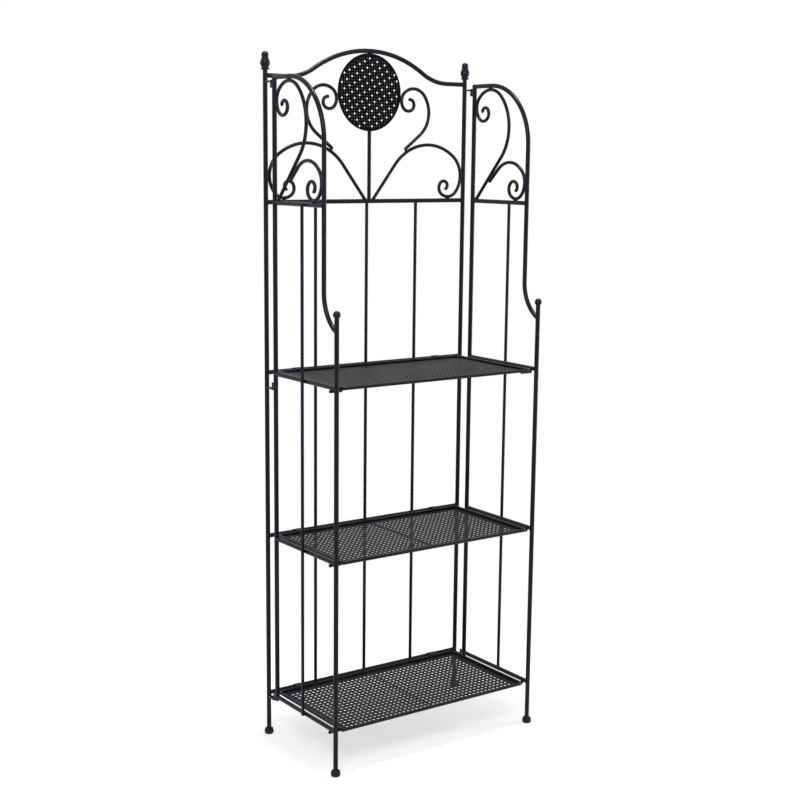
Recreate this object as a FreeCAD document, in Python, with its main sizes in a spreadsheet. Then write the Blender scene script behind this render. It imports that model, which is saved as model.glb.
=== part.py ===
import FreeCAD, Part
import math
import os

# Folding bakers rack of black painted steel rod: a back frame with an arched crest, two side
# frames hung on it by pin hinges, and three perforated shelves hooked round the back rails.
# Millimetres and degrees. X runs across, +Y to the back, +Z up, and the origin lies on the
# floor in the middle of the four feet.

SIZES = (
    # main frame
    ("post_spacing", 600.0),
    ("frame_depth", 316.0),
    ("hinge_setback", 43.0),
    ("post_diameter", 11.5),
    ("rail_diameter", 11.0),
    ("bottom_rail_height", 110.0),
    ("shelf_pitch", 415.0),
    ("panel_height", 298.0),
    ("post_overrun", 13.0),
    # feet, finials and leg balls
    ("foot_diameter", 24.0),
    ("foot_height", 16.0),
    ("foot_base", 20.0),
    ("foot_band", 6.0),
    ("foot_top", 16.0),
    ("foot_floor", 5.0),
    ("socket_clearance", 0.05),
    ("collar_diameter", 19.0),
    ("collar_height", 4.5),
    ("waist_diameter", 13.0),
    ("waist_height", 2.0),
    ("bulb_diameter", 24.0),
    ("bulb_rise", 15.0),
    ("tip_diameter", 13.5),
    ("tip_rise", 36.0),
    ("tip_height", 6.75),
    ("tip_flat", 7.0),
    ("neck_diameter", 8.0),
    ("neck_rise", 28.0),
    ("ball_diameter", 18.0),
    ("ball_rise", 174.0),
    # crest of the back frame
    ("arch_diameter", 11.2),
    ("arch_rise", 71.0),
    ("arch_shoulder", 60.0),
    ("hollow_radius", 141.0),
    ("disc_diameter", 190.0),
    ("disc_thickness", 2.5),
    ("disc_hole", 15.0),
    ("disc_hole_pitch", 30.0),
    ("disc_border", 9.0),
    ("stem_diameter", 9.5),
    ("back_rod_diameter", 8.4),
    ("back_rod_spacing", 153.0),
    ("rod_overrun", 3.0),
    # scrollwork
    ("scroll_bar", 8.6),
    ("scroll_eye_radius", 8.0),
    ("scroll_angle", 510.0),
    ("touch_gap", 0.1),
    ("lower_angle", 52.3),
    ("lower_ratio", 0.458),
    ("lower_start", 9.0),
    ("upper_angle", 43.0),
    ("upper_ratio", 0.57),
    ("upper_foot_angle", 12.0),
    ("upper_contact_angle", 8.0),
    ("large_ratio", 0.537),
    ("large_start", 11.0),
    ("large_aim_drop", 64.0),
    ("small_spread_angle", 11.3),
    ("small_ratio", 0.605),
    ("small_foot", 82.0),
    # side frames
    ("side_arch_drop", 6.0),
    ("side_arch_share", 0.685),
    ("side_arch_overhang", 6.5),
    ("side_arch_setback", 54.5),
    ("leg_sweep_radius", 96.0),
    ("leg_sweep_angle", 60.0),
    ("leg_joint_drop", 43.0),
    ("upright_diameter", 11.5),
    ("upright_tail", 12.0),
    ("side_rod_diameter", 8.0),
    ("side_rod_setback", 134.5),
    # side hinges
    ("pin_offset", 13.0),
    ("pin_diameter", 6.0),
    ("pin_clearance", 0.06),
    ("pin_end", 1.5),
    ("knuckle_width", 8.0),
    ("knuckle_height", 13.0),
    ("hinge_gap", 0.3),
    ("eye_diameter", 13.0),
    ("eye_thickness", 4.0),
    ("arm_width", 8.0),
    ("top_eye_drop", 11.0),
    ("middle_eye_drop", 38.0),
    # shelves
    ("rim_diameter", 7.0),
    ("shelf_side_gap", 10.5),
    ("rim_setback", 17.0),
    ("rim_rise", 1.5),
    ("sheet_thickness", 1.0),
    ("sheet_border", 22.0),
    ("mesh_pitch_x", 84.0),
    ("mesh_pitch_y", 84.0),
    ("mesh_hole", 66.0),
    ("rib_width", 12.0),
    ("rib_thickness", 3.0),
    ("strap_width", 20.0),
    ("strap_thickness", 2.0),
    ("strap_clearance", 0.1),
    ("strap_inset", 65.0),
    ("strap_tail", 4.0),
    ("lug_diameter", 8.0),
    ("lug_length", 36.0),
    ("lug_overrun", 5.0),
    ("lug_setback", 24.0),
    ("rest_gap", 0.25),
)

LEVELS = ("bottom", "middle", "top")
X_AXIS = FreeCAD.Rotation(FreeCAD.Vector(0, 1, 0), 90)
Y_AXIS = FreeCAD.Rotation(FreeCAD.Vector(1, 0, 0), -90)
Z_AXIS = FreeCAD.Rotation()
TUBE_SIDES = 8
RING_SIDES = 8
BORE_SIDES = 12
TURNED_SIDES = 12
BALL_STEPS = 5
CHORD_TURN = 13.0
LEVEL, QUARTER, DOWN, FULL = 0.0, 90.0, 270.0, 360.0

doc = FreeCAD.newDocument("bakers_rack")
sheet = doc.addObject("Spreadsheet::Sheet", "Sizes")
for row, (alias, value) in enumerate(SIZES, 1):
    sheet.set("A%d" % row, alias)
    sheet.set("B%d" % row, str(value))
    sheet.setAlias("B%d" % row, alias)
doc.recompute()

nodes = []


def size(alias):
    """A driving dimension, read from the sheet."""
    return float(sheet.get(alias))


# Places that many pieces share, written from the sheet
HALF = "Sizes.post_spacing / 2"
REAR = "Sizes.frame_depth / 2"
UPRIGHT = "(%s - Sizes.hinge_setback)" % REAR
PIN = "(%s + Sizes.pin_offset)" % UPRIGHT
RAIL_R = "Sizes.rail_diameter / 2"
RIM_R = "Sizes.rim_diameter / 2"


def back_rail_z(level):
    """Height of a back rail's axis, which is also a shelf's hinge axis."""
    return "(Sizes.bottom_rail_height + %d * Sizes.shelf_pitch)" % level


def rail_height(level):
    """The same height as a number. The crest rail lies one pitch above the top shelf's."""
    return size("bottom_rail_height") + level * size("shelf_pitch")


CREST = back_rail_z(len(LEVELS))
ARCH = "(%s + Sizes.panel_height)" % CREST
SIDE_ARCH = "(%s - Sizes.side_arch_drop)" % ARCH
BALL = "(%s + Sizes.ball_rise)" % back_rail_z(len(LEVELS) - 1)
crest = rail_height(len(LEVELS))
arch_height = crest + size("panel_height")
post_height = arch_height + size("post_overrun")
ball_height = rail_height(len(LEVELS) - 1) + size("ball_rise")


def rim_z(level):
    """Height of the axis of a shelf's rim rods."""
    return "(%s + Sizes.rim_rise)" % back_rail_z(level)


def sheet_z(level):
    """Height of the underside of a shelf's sheet, which hangs under the rim rods."""
    return "(%s - %s - Sizes.sheet_thickness)" % (rim_z(level), RIM_R)


def side_rail_z(level):
    """Height of a side rail's axis: its underside is level with the tops of the rest lugs."""
    return "(%s - Sizes.rest_gap + %s)" % (sheet_z(level), RAIL_R)


def bind(obj, **expressions):
    """Tie an object's properties to expressions on the sheet."""
    for name, expression in expressions.items():
        obj.setExpression(name, expression)
    return obj


def place(obj, rotation, x, y, z):
    """Turn an object and tie its base point to the sheet."""
    obj.Placement = FreeCAD.Placement(FreeCAD.Vector(), rotation)
    for axis, expression in zip("xyz", (x, y, z)):
        obj.setExpression("Placement.Base." + axis, expression)
    return obj


def rod(name, rotation, x, y, z, length, diameter):
    """A round rod that starts at a point and runs along an axis."""
    obj = doc.addObject("Part::Cylinder", name)
    bind(obj, Radius="(%s) / 2" % diameter, Height=length)
    return place(obj, rotation, x, y, z)


def many_sided(obj, sides, width):
    """Give a prism or a section a number of sides, and its width across flats."""
    obj.Polygon = sides
    obj.Placement.Rotation = FreeCAD.Rotation(FreeCAD.Vector(0, 0, 1), 180 / sides)
    return bind(obj, Circumradius="(%s) / 2 / cos(180 deg / %d)" % (width, sides))


def thin_rod(name, rotation, x, y, z, length, diameter, sides=TUBE_SIDES):
    """One of the many lesser rods, with flats in place of its round."""
    obj = many_sided(doc.addObject("Part::Prism", name), sides, diameter)
    bind(obj, Height=length)
    return place(obj, rotation.multiply(obj.Placement.Rotation), x, y, z)


def block(name, x, y, z, dx, dy, dz):
    """A rectangular block from its lowest corner."""
    obj = doc.addObject("Part::Box", name)
    bind(obj, Length=dx, Width=dy, Height=dz)
    return place(obj, Z_AXIS, x, y, z)


def compound(name, parts):
    """Separate solids kept together."""
    obj = doc.addObject("Part::Compound", name)
    obj.Links = list(parts)
    return obj


def fuse(name, parts):
    """Pieces that are forged or welded into one solid."""
    obj = doc.addObject("Part::MultiFuse", name)
    obj.Shapes = list(parts)
    obj.Refine = True
    return obj


def cope(name, blank, seats):
    """A blank whose ends are shaped to the pieces that it is welded to."""
    obj = doc.addObject("Part::Cut", name)
    obj.Base = blank
    obj.Tool = seats[0] if len(seats) == 1 else compound(name + "_seats", seats)
    obj.Refine = True
    return obj


def mirror(name, source):
    """The right-hand twin of a left-hand piece."""
    obj = doc.addObject("Part::Mirroring", name)
    obj.Source = source
    obj.Normal = FreeCAD.Vector(1, 0, 0)
    return obj


def node(label, obj):
    """Name a finished sub-part."""
    obj.Label = label
    nodes.append(obj)
    return obj


def pair(label, left):
    """Name a left-hand sub-part, make its right-hand twin and return both."""
    node("left_" + label, left)
    return left, node("right_" + label, mirror("right_" + label, left))


class Path:
    """A flat run of straight stretches and tangent arcs in a panel's own plane."""

    def __init__(self, start, heading, plane):
        self.begin = start
        self.at = start
        self.heading = math.radians(heading)
        self.plane = plane
        self.edges = []

    def _move(self, reach, side):
        along = (math.cos(self.heading), math.sin(self.heading))
        return (self.at[0] + along[0] * reach - along[1] * side,
                self.at[1] + along[1] * reach + along[0] * side)

    def line(self, length):
        """Go straight on."""
        end = self._move(length, 0.0)
        self.edges.append(Part.LineSegment(self.plane(*self.at), self.plane(*end)).toShape())
        self.at = end
        return self

    def arc(self, radius, turn):
        """Turn left by a positive angle, or right by a negative one."""
        side = math.copysign(radius, turn)
        half, full = math.radians(turn / 2), math.radians(turn)
        middle = self._move(radius * math.sin(abs(half)), side * (1 - math.cos(half)))
        end = self._move(radius * math.sin(abs(full)), side * (1 - math.cos(full)))
        points = [self.plane(*point) for point in (self.at, middle, end)]
        self.edges.append(Part.Arc(*points).toShape())
        self.at = end
        self.heading += full
        return self

    def chords(self, radius, turn):
        """Turn as along an arc, in equal straight chords."""
        count = math.ceil(abs(turn) / CHORD_TURN)
        step = math.radians(turn) / count
        for _ in range(count):
            self.heading += step / 2
            self.line(2 * radius * math.sin(abs(step) / 2))
            self.heading += step / 2
        return self


def bend(name, path, section):
    """A bar bent along a path, with its section square to the path's start."""
    spine = doc.addObject("Part::Feature", name + "_line")
    spine.Shape = Part.Wire(path.edges)
    first = path.edges[0]
    square = FreeCAD.Rotation(FreeCAD.Vector(0, 0, 1), first.tangentAt(first.FirstParameter))
    section.Placement = FreeCAD.Placement(first.valueAt(first.FirstParameter),
                                          square.multiply(section.Placement.Rotation))
    obj = doc.addObject("Part::Sweep", name)
    obj.Sections = [section]
    obj.Spine = (spine, ["Edge%d" % (n + 1) for n in range(len(path.edges))])
    obj.Solid = True
    return obj


def flat_section(name, sides, width):
    """The section of a bar or a tube that is bent, with few sides."""
    return many_sided(doc.addObject("Part::RegularPolygon", name), sides, width)


def turned(name, rings, x, y):
    """A turned piece that stands upright: (radius, height) rings joined by flat flanks."""
    turns = [2 * math.pi * n / TURNED_SIDES for n in range(TURNED_SIDES)]
    loops = [[FreeCAD.Vector(x + radius * math.cos(turn), y + radius * math.sin(turn), height)
              for turn in turns] for radius, height in rings]
    flanks = [polygon([low[n - 1], low[n], high[n], high[n - 1]])
              for low, high in zip(loops, loops[1:]) for n in range(TURNED_SIDES)]
    shell = Part.makeShell([Part.Face(wire) for wire in [polygon(loops[0]), polygon(loops[-1])] + flanks])
    shell.sewShape()
    obj = doc.addObject("Part::Feature", name)
    obj.Shape = Part.Solid(shell)
    return obj


def plate(name, outline, holes, direction, thickness):
    """A flat plate with holes, given as wires that lie on its first face."""
    face = doc.addObject("Part::Feature", name + "_face")
    face.Shape = Part.makeFace([outline] + holes, "Part::FaceMakerBullseye")
    obj = doc.addObject("Part::Extrusion", name)
    obj.Base = face
    obj.DirMode = "Custom"
    obj.Dir = direction
    obj.Solid = True
    return bind(obj, LengthFwd=thickness)


def polygon(points):
    """A closed wire through corner points."""
    return Part.makePolygon(points + points[:1])


def diamond(plane, u, v, width):
    """A four-cornered hole, point up."""
    corners = ((width / 2, 0), (0, width / 2), (-width / 2, 0), (0, -width / 2))
    return polygon([plane(u + du, v + dv) for du, dv in corners])


def spread(span, pitch):
    """Evenly spaced places, centred on zero, that fit in a span."""
    count = int(span // pitch)
    return [(n - (count - 1) / 2) * pitch for n in range(count)]


class Scroll:
    """A square bar that runs straight, then curls in quarter turns that tighten to its eye."""

    def __init__(self, start, lean, ratio, hand):
        self.start = start
        self.lean = lean
        self.ratio = ratio
        self.hand = hand
        self.length = 0.0
        self.radius = 0.0

    def steps(self, turn):
        """The quarter turns, each with its share of the first radius and of the eye's."""
        for n in range(math.ceil(turn / QUARTER)):
            yield self.ratio ** n, 1 - self.ratio ** n, min(QUARTER, turn - n * QUARTER)

    def reach(self, axis, turn):
        """How far the curl comes along an axis: per unit of first radius, and from its eye."""
        heading = math.radians(self.lean)
        per_radius, from_eye = 0.0, 0.0
        for share, rest, step in self.steps(turn):
            after = heading + self.hand * math.radians(step)
            move = (math.sin(after) - math.sin(heading), math.cos(heading) - math.cos(after))
            per_radius += self.hand * share * move[axis]
            from_eye += self.hand * rest * size("scroll_eye_radius") * move[axis]
            heading = after
        return per_radius, from_eye

    def turn_to(self, heading):
        """The turn after which the bar heads a given way for the first time."""
        return (self.hand * (heading - self.lean)) % FULL

    def touch(self, *stops):
        """Settle the straight length and first radius so that the curl meets two stops."""
        along = (math.cos(math.radians(self.lean)), math.sin(math.radians(self.lean)))
        rows = []
        for axis, heading, value in stops:
            per_radius, from_eye = self.reach(axis, self.turn_to(heading))
            rows.append((along[axis], per_radius, value - self.start[axis] - from_eye))
        (a, b, e), (c, d, f) = rows
        self.length = (e * d - b * f) / (a * d - b * c)
        self.radius = (a * f - e * c) / (a * d - b * c)
        return self

    def point(self, turn):
        """A point of the bar's line after a given turn."""
        along = (math.cos(math.radians(self.lean)), math.sin(math.radians(self.lean)))
        reaches = [self.reach(axis, turn) for axis in (0, 1)]
        return tuple(self.start[n] + self.length * along[n] + reaches[n][0] * self.radius
                     + reaches[n][1] for n in (0, 1))

    def edge(self, plane, side):
        """One edge of the bar, parallel to its line in a panel's plane."""
        lean = math.radians(self.lean)
        start = (self.start[0] - side * math.sin(lean), self.start[1] + side * math.cos(lean))
        path = Path(start, self.lean, plane).line(self.length)
        eye = size("scroll_eye_radius")
        for share, rest, step in self.steps(size("scroll_angle")):
            path.chords(share * self.radius + rest * eye - self.hand * side, self.hand * step)
        return path

    def bar(self, name, plane, across):
        """The bent bar, before its start is shaped to what it is welded to."""
        half = size("scroll_bar") / 2

        def face_plane(u, w):
            return plane(u, w) - across * half

        left, right = self.edge(face_plane, half), self.edge(face_plane, -half)
        ends = [Part.LineSegment(face_plane(*left.begin), face_plane(*right.begin)).toShape(),
                Part.LineSegment(face_plane(*left.at), face_plane(*right.at)).toShape()]
        outline = Part.Wire(Part.__sortEdges__(left.edges + right.edges + ends))
        return plate(name, outline, [], across, "Sizes.scroll_bar")


def foot(name, y):
    """A bun cap with a socket for the left-hand tube that stands in it."""
    rings = ((size("foot_base") / 2, 0), (size("foot_diameter") / 2, size("foot_band")),
             (size("foot_top") / 2, size("foot_height")))
    blank = turned(name + "_blank", rings, -size("post_spacing") / 2, y)
    socket = thin_rod(name + "_socket", Z_AXIS, "-" + HALF, str(y), "Sizes.foot_floor", "Sizes.foot_height",
                      "Sizes.post_diameter + 2 * Sizes.socket_clearance", TURNED_SIDES)
    return cope(name, blank, [socket])


def back_plane(u, w):
    """The left half of the back frame's plane, measured outwards from the middle."""
    return FreeCAD.Vector(-u, size("frame_depth") / 2, w)


def side_plane(u, w):
    """The left side frame's plane, measured to the back."""
    return FreeCAD.Vector(-size("post_spacing") / 2, u, w)


# Rear posts, their feet and their finials
left_post = rod("left_rear_post", Z_AXIS, "-" + HALF, REAR, "Sizes.foot_floor",
                "%s + Sizes.post_overrun - Sizes.foot_floor" % ARCH, "Sizes.post_diameter")
left_post, right_post = pair("rear_post", left_post)
posts = [left_post, right_post]

left_rear_foot = foot("left_rear_foot", size("frame_depth") / 2)
node("rear_feet", compound("rear_feet", [left_rear_foot, mirror("right_rear_foot", left_rear_foot)]))

collar, waist = size("collar_diameter") / 2, size("waist_diameter") / 2
bulb, neck, tip = size("bulb_diameter") / 2, size("neck_diameter") / 2, size("tip_diameter") / 2
collar_top, tip_top = size("collar_height"), size("tip_rise") + size("tip_height")
finial_rings = ((collar, 0), (collar, collar_top), (waist, collar_top + size("waist_height")),
                (bulb, size("bulb_rise")), (neck, size("neck_rise")), (tip, size("tip_rise")),
                (size("tip_flat") / 2, tip_top))
left_finial = turned("left_finial", [(ring, post_height + rise) for ring, rise in finial_rings],
                     -size("post_spacing") / 2, size("frame_depth") / 2)
node("finials", compound("finials", [left_finial, mirror("right_finial", left_finial)]))

# Rails across the back
for level, word in enumerate(LEVELS):
    blank = rod(word + "_back_rail_blank", X_AXIS, "-" + HALF, REAR, back_rail_z(level),
                "Sizes.post_spacing", "Sizes.rail_diameter")
    node(word + "_back_rail", cope(word + "_back_rail", blank, posts))
crest_blank = rod("crest_rail_blank", X_AXIS, "-" + HALF, REAR, CREST,
                  "Sizes.post_spacing", "Sizes.rail_diameter")
crest_rail = node("crest_rail", cope("crest_rail", crest_blank, posts))

# Upright rods, welded to the backs of the rails
rod_y = "%s + %s + Sizes.back_rod_diameter / 2" % (REAR, RAIL_R)
rod_z = "%s - Sizes.rod_overrun" % back_rail_z(0)
rod_length = "%s + Sizes.rod_overrun - (%s)" % (CREST, rod_z)
for word, step in (("left", "-"), ("middle", "0 * "), ("right", "")):
    node(word + "_back_rod",
         thin_rod(word + "_back_rod", Z_AXIS, step + "Sizes.back_rod_spacing", rod_y, rod_z,
                  rod_length, "Sizes.back_rod_diameter"))

# Arched top rail: level shoulders, then a crown that is tangent to a hollow on each side
run = size("post_spacing") / 2 - size("arch_shoulder")
rise = size("arch_rise")
hollow_radius = size("hollow_radius")
crown_radius = (run ** 2 + rise ** 2) / (2 * rise) - hollow_radius
swing = 2 * math.degrees(math.atan2(rise, run))
arch_path = Path((size("post_spacing") / 2, arch_height), 180, back_plane)
arch_path.line(size("arch_shoulder")).arc(hollow_radius, -swing)
arch_path.arc(crown_radius, 2 * swing).arc(hollow_radius, -swing)
arch_path.line(size("arch_shoulder"))
arch_blank = bend("arched_top_rail_blank", arch_path,
                  flat_section("arched_top_rail_section", TUBE_SIDES, "Sizes.arch_diameter"))
node("arched_top_rail", cope("arched_top_rail", arch_blank, posts))

# Pierced disc, hung under the crown, and the stem that carries it
gap, half_bar = size("touch_gap"), size("scroll_bar") / 2
disc_radius = size("disc_diameter") / 2
disc_z = arch_height + rise - size("arch_diameter") / 2 - gap - disc_radius


def disc_plane(u, w):
    """The disc's front face, measured from its centre."""
    return FreeCAD.Vector(u, (size("frame_depth") - size("disc_thickness")) / 2, disc_z + w)


disc_edge = Part.Wire([Part.makeCircle(disc_radius, disc_plane(0, 0), FreeCAD.Vector(0, 1, 0))])
tilt = math.atan2(1, 2)
pitch = size("disc_hole_pitch")
reach = disc_radius - size("disc_border") - size("disc_hole") / 2
count = int(disc_radius // pitch) + 1
disc_holes = []
for column in range(-count, count + 1):
    for row in range(-count, count + 1):
        u = pitch * (column * math.cos(tilt) - row * math.sin(tilt))
        w = pitch * (column * math.sin(tilt) + row * math.cos(tilt))
        if math.hypot(u, w) <= reach:
            disc_holes.append(diamond(disc_plane, u, w, size("disc_hole")))
node("crest_disc", plate("crest_disc", disc_edge, disc_holes, FreeCAD.Vector(0, 1, 0),
                         "Sizes.disc_thickness"))

stem_length = ("Sizes.panel_height + Sizes.arch_rise - Sizes.arch_diameter / 2"
               " - Sizes.disc_diameter - 2 * Sizes.touch_gap")
stem_blank = rod("crest_stem_blank", Z_AXIS, "0", REAR, CREST, stem_length, "Sizes.stem_diameter")
stem = node("crest_stem", cope("crest_stem", stem_blank, [crest_rail]))

# Back scrolls: the lower curls between post and rail, the upper springs from it to the disc
to_back, to_right = FreeCAD.Vector(0, 1, 0), FreeCAD.Vector(1, 0, 0)
on_rail = crest + size("rail_diameter") / 2 + gap + half_bar
post_stop = size("post_spacing") / 2 - size("post_diameter") / 2 - gap - half_bar
lower = Scroll((size("lower_start"), crest), size("lower_angle"), size("lower_ratio"), -1)
lower.touch((0, DOWN, post_stop), (1, LEVEL + 2 * QUARTER, on_rail))
left_lower = cope("left_lower_scroll", lower.bar("lower_scroll_bar", back_plane, to_back),
                  [crest_rail, stem])
node("lower_scrolls", compound("lower_scrolls", [left_lower, mirror("right_lower_scroll", left_lower)]))

contact = size("upper_contact_angle")
disc_stop = disc_radius + gap + half_bar
upper = Scroll(lower.point(size("upper_foot_angle")), size("upper_angle"), size("upper_ratio"), 1)
upper.touch((0, DOWN - contact, disc_stop * math.cos(math.radians(contact))),
            (1, DOWN - contact, disc_z - disc_stop * math.sin(math.radians(contact))))
left_upper = cope("left_upper_scroll", upper.bar("upper_scroll_bar", back_plane, to_back), [left_lower])
node("upper_scrolls", compound("upper_scrolls", [left_upper, mirror("right_upper_scroll", left_upper)]))

# Front legs with their feet and balls
leg_top = "%s - sqrt(Sizes.ball_diameter ^ 2 - Sizes.post_diameter ^ 2) / 2" % BALL
leg_blank = rod("left_front_leg", Z_AXIS, "-" + HALF, "-" + REAR, "Sizes.foot_floor",
                leg_top + " - Sizes.foot_floor", "Sizes.post_diameter")
left_leg = pair("front_leg", leg_blank)[0]

ball, seat = size("ball_diameter") / 2, size("post_diameter") / 2
seat_angle = math.acos(seat / ball)
ball_step = (2 * seat_angle) / BALL_STEPS
ball_rings = [(ball * math.cos(n * ball_step - seat_angle),
               ball_height + ball * math.sin(n * ball_step - seat_angle))
              for n in range(BALL_STEPS + 1)]
left_ball = turned("left_leg_ball", ball_rings, -size("post_spacing") / 2, -size("frame_depth") / 2)
pair("leg_caps", compound("left_leg_caps", [foot("left_front_foot", -size("frame_depth") / 2), left_ball]))

# Arch tubes: back to front over the top of a side frame, down, and out to the front leg
upright_y = size("frame_depth") / 2 - size("hinge_setback")
front_y = size("side_arch_setback") - size("frame_depth") / 2
arch_z = arch_height - size("side_arch_drop")
arch_radius = size("side_arch_share") * (upright_y - front_y)
sweep_radius, sweep = size("leg_sweep_radius"), math.radians(size("leg_sweep_angle"))
last_run = (size("side_arch_setback") - sweep_radius * (1 - math.cos(sweep))) / math.sin(sweep)
sweep_drop = sweep_radius * math.sin(sweep) + last_run * math.cos(sweep)
tube_start = upright_y + size("side_arch_overhang")
tube_path = Path((tube_start, arch_z), 180, side_plane)
tube_path.line(tube_start - front_y - arch_radius).chords(arch_radius, 90)
tube_path.line(arch_z - arch_radius - sweep_drop - ball_height + size("leg_joint_drop"))
tube_path.chords(sweep_radius, -size("leg_sweep_angle"))
tube_path.line(last_run - size("post_diameter") / 6)
tube_blank = bend("left_arch_tube_blank", tube_path,
                  flat_section("left_arch_tube_section", TUBE_SIDES, "Sizes.arch_diameter"))
left_tube = cope("left_arch_tube", tube_blank, [left_leg])
pair("arch_tube", left_tube)

upright_z = "%s - Sizes.upright_tail" % side_rail_z(0)
upright_blank = rod("left_upright_blank", Z_AXIS, "-" + HALF, UPRIGHT, upright_z,
                    "%s - (%s)" % (SIDE_ARCH, upright_z), "Sizes.upright_diameter")
left_upright = cope("left_upright", upright_blank, [left_tube])
pair("upright", left_upright)

# Rails of the side frames, with the lugs that the shelves rest on
for level, word in enumerate(LEVELS):
    blank = thin_rod("left_%s_side_rail_blank" % word, Y_AXIS, "-" + HALF, "-" + REAR,
                     side_rail_z(level), "Sizes.frame_depth - Sizes.hinge_setback",
                     "Sizes.rail_diameter")
    pair(word + "_side_rail", cope("left_%s_side_rail" % word, blank, [left_leg, left_upright]))
crest_side_blank = thin_rod("left_side_crest_rail_blank", Y_AXIS, "-" + HALF,
                            "Sizes.side_arch_setback - " + REAR, CREST,
                            "Sizes.frame_depth - Sizes.hinge_setback - Sizes.side_arch_setback",
                            "Sizes.rail_diameter")
side_crest = cope("left_side_crest_rail", crest_side_blank, [left_tube, left_upright])
pair("side_crest_rail", side_crest)

lugs = [thin_rod("left_%s_rest_lug" % word, X_AXIS, "-%s - Sizes.lug_overrun" % HALF,
                 "Sizes.lug_setback - " + REAR,
                 "%s - %s - Sizes.lug_diameter / 2" % (side_rail_z(level), RAIL_R),
                 "Sizes.lug_length", "Sizes.lug_diameter")
        for level, word in enumerate(LEVELS)]
pair("rest_lugs", compound("left_rest_lugs", lugs))

side_rod_x = "-(%s + %s + Sizes.side_rod_diameter / 2)" % (HALF, RAIL_R)
side_rod_z = "%s - Sizes.rod_overrun" % side_rail_z(0)
pair("mid_rod",
     thin_rod("left_mid_rod", Z_AXIS, side_rod_x, "Sizes.side_rod_setback - " + REAR, side_rod_z,
              "%s + Sizes.rod_overrun - (%s)" % (CREST, side_rod_z),
              "Sizes.side_rod_diameter"))

# Side scrolls: the large one fills the arch, the small one springs from it to the arch tube
arch_stop = arch_z - size("arch_diameter") / 2 - gap - half_bar
upright_stop = upright_y - size("upright_diameter") / 2 - gap - half_bar
tube_stop = front_y + size("arch_diameter") / 2 + gap + half_bar
large_start = upright_y - size("large_start")
large_lean = math.atan2(arch_z - size("large_aim_drop") - crest, front_y - large_start)
large = Scroll((large_start, crest), math.degrees(large_lean), size("large_ratio"), -1)
large.touch((1, LEVEL, arch_stop), (0, DOWN, upright_stop))
left_large = cope("left_large_scroll", large.bar("large_scroll_bar", side_plane, to_right),
                  [side_crest, left_upright])

small_start = (large_start + size("small_foot") * math.cos(large_lean),
               crest + size("small_foot") * math.sin(large_lean))
small = Scroll(small_start, large.lean + size("small_spread_angle"), size("small_ratio"), 1)
small.touch((0, DOWN, tube_stop), (1, LEVEL, on_rail))
left_small = cope("left_small_scroll", small.bar("small_scroll_bar", side_plane, to_right), [left_large])
pair("side_scrolls", compound("left_side_scrolls", [left_large, left_small]))

# Side hinges: flat eyes on the rear posts, and pins in knuckles on the uprights
bottom_eye = (rail_height(0) - size("rail_diameter") / 2 - size("hinge_gap")
              - size("eye_thickness"))
middle_eye = rail_height(len(LEVELS) - 1) - size("middle_eye_drop")
top_eye = arch_z - size("top_eye_drop")
pin_y = upright_y + size("pin_offset")


def lobe(radius, post_y, post_radius, z):
    """A lug's outline: a round end about the pin, and a hollow end against a tube."""
    side = math.copysign(1.0, post_y - pin_y)
    half = size("arm_width") / 2
    ends = [math.radians(180 * n / (RING_SIDES / 2)) for n in range(RING_SIDES // 2 + 1)]
    points = [(radius * math.cos(turn), pin_y - side * radius * math.sin(turn)) for turn in ends]
    hollow = post_y - side * math.sqrt(post_radius ** 2 - half ** 2)
    points = [(half, hollow)] + points + [(-half, hollow)]
    corners = [FreeCAD.Vector(x - size("post_spacing") / 2, y, z) for x, y in points]
    middle = FreeCAD.Vector(-size("post_spacing") / 2, post_y - side * post_radius, z)
    edges = [Part.LineSegment(*ends).toShape() for ends in zip(corners, corners[1:])]
    return Part.Wire(edges + [Part.Arc(corners[-1], middle, corners[0]).toShape()])


up = FreeCAD.Vector(0, 0, 1)
eyes, pins = [], []
for word, eye_z, pin_down in (("bottom", bottom_eye, True), ("middle", middle_eye, True),
                              ("top", top_eye, False)):
    centre = FreeCAD.Vector(-size("post_spacing") / 2, pin_y, eye_z)
    bore = Part.Wire([Part.makeCircle(size("pin_diameter") / 2 + size("pin_clearance"), centre, up)])
    arm = lobe(size("eye_diameter") / 2, size("frame_depth") / 2, size("post_diameter") / 2, eye_z)
    eyes.append(plate("left_%s_eye" % word, arm, [bore], up, "Sizes.eye_thickness"))

    knuckle_z = eye_z + size("eye_thickness") + size("hinge_gap")
    pin_z = eye_z - size("pin_end")
    if not pin_down:
        knuckle_z = eye_z - size("hinge_gap") - size("knuckle_height")
        pin_z = knuckle_z
    web = lobe(size("knuckle_width") / 2, upright_y, size("upright_diameter") / 2, knuckle_z)
    knuckle = plate(word + "_knuckle", web, [], up, "Sizes.knuckle_height")
    pin = rod(word + "_pin", Z_AXIS, "-" + HALF, PIN, str(pin_z),
              "Sizes.pin_end + Sizes.eye_thickness + Sizes.hinge_gap + Sizes.knuckle_height",
              "Sizes.pin_diameter")
    pins.append(fuse("left_%s_hinge_pin" % word, [knuckle, pin]))
node("hinge_eyes", compound("hinge_eyes", eyes + [mirror("right_" + eye.Name, eye) for eye in eyes]))
pair("hinge_pins", compound("left_hinge_pins", pins))

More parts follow.
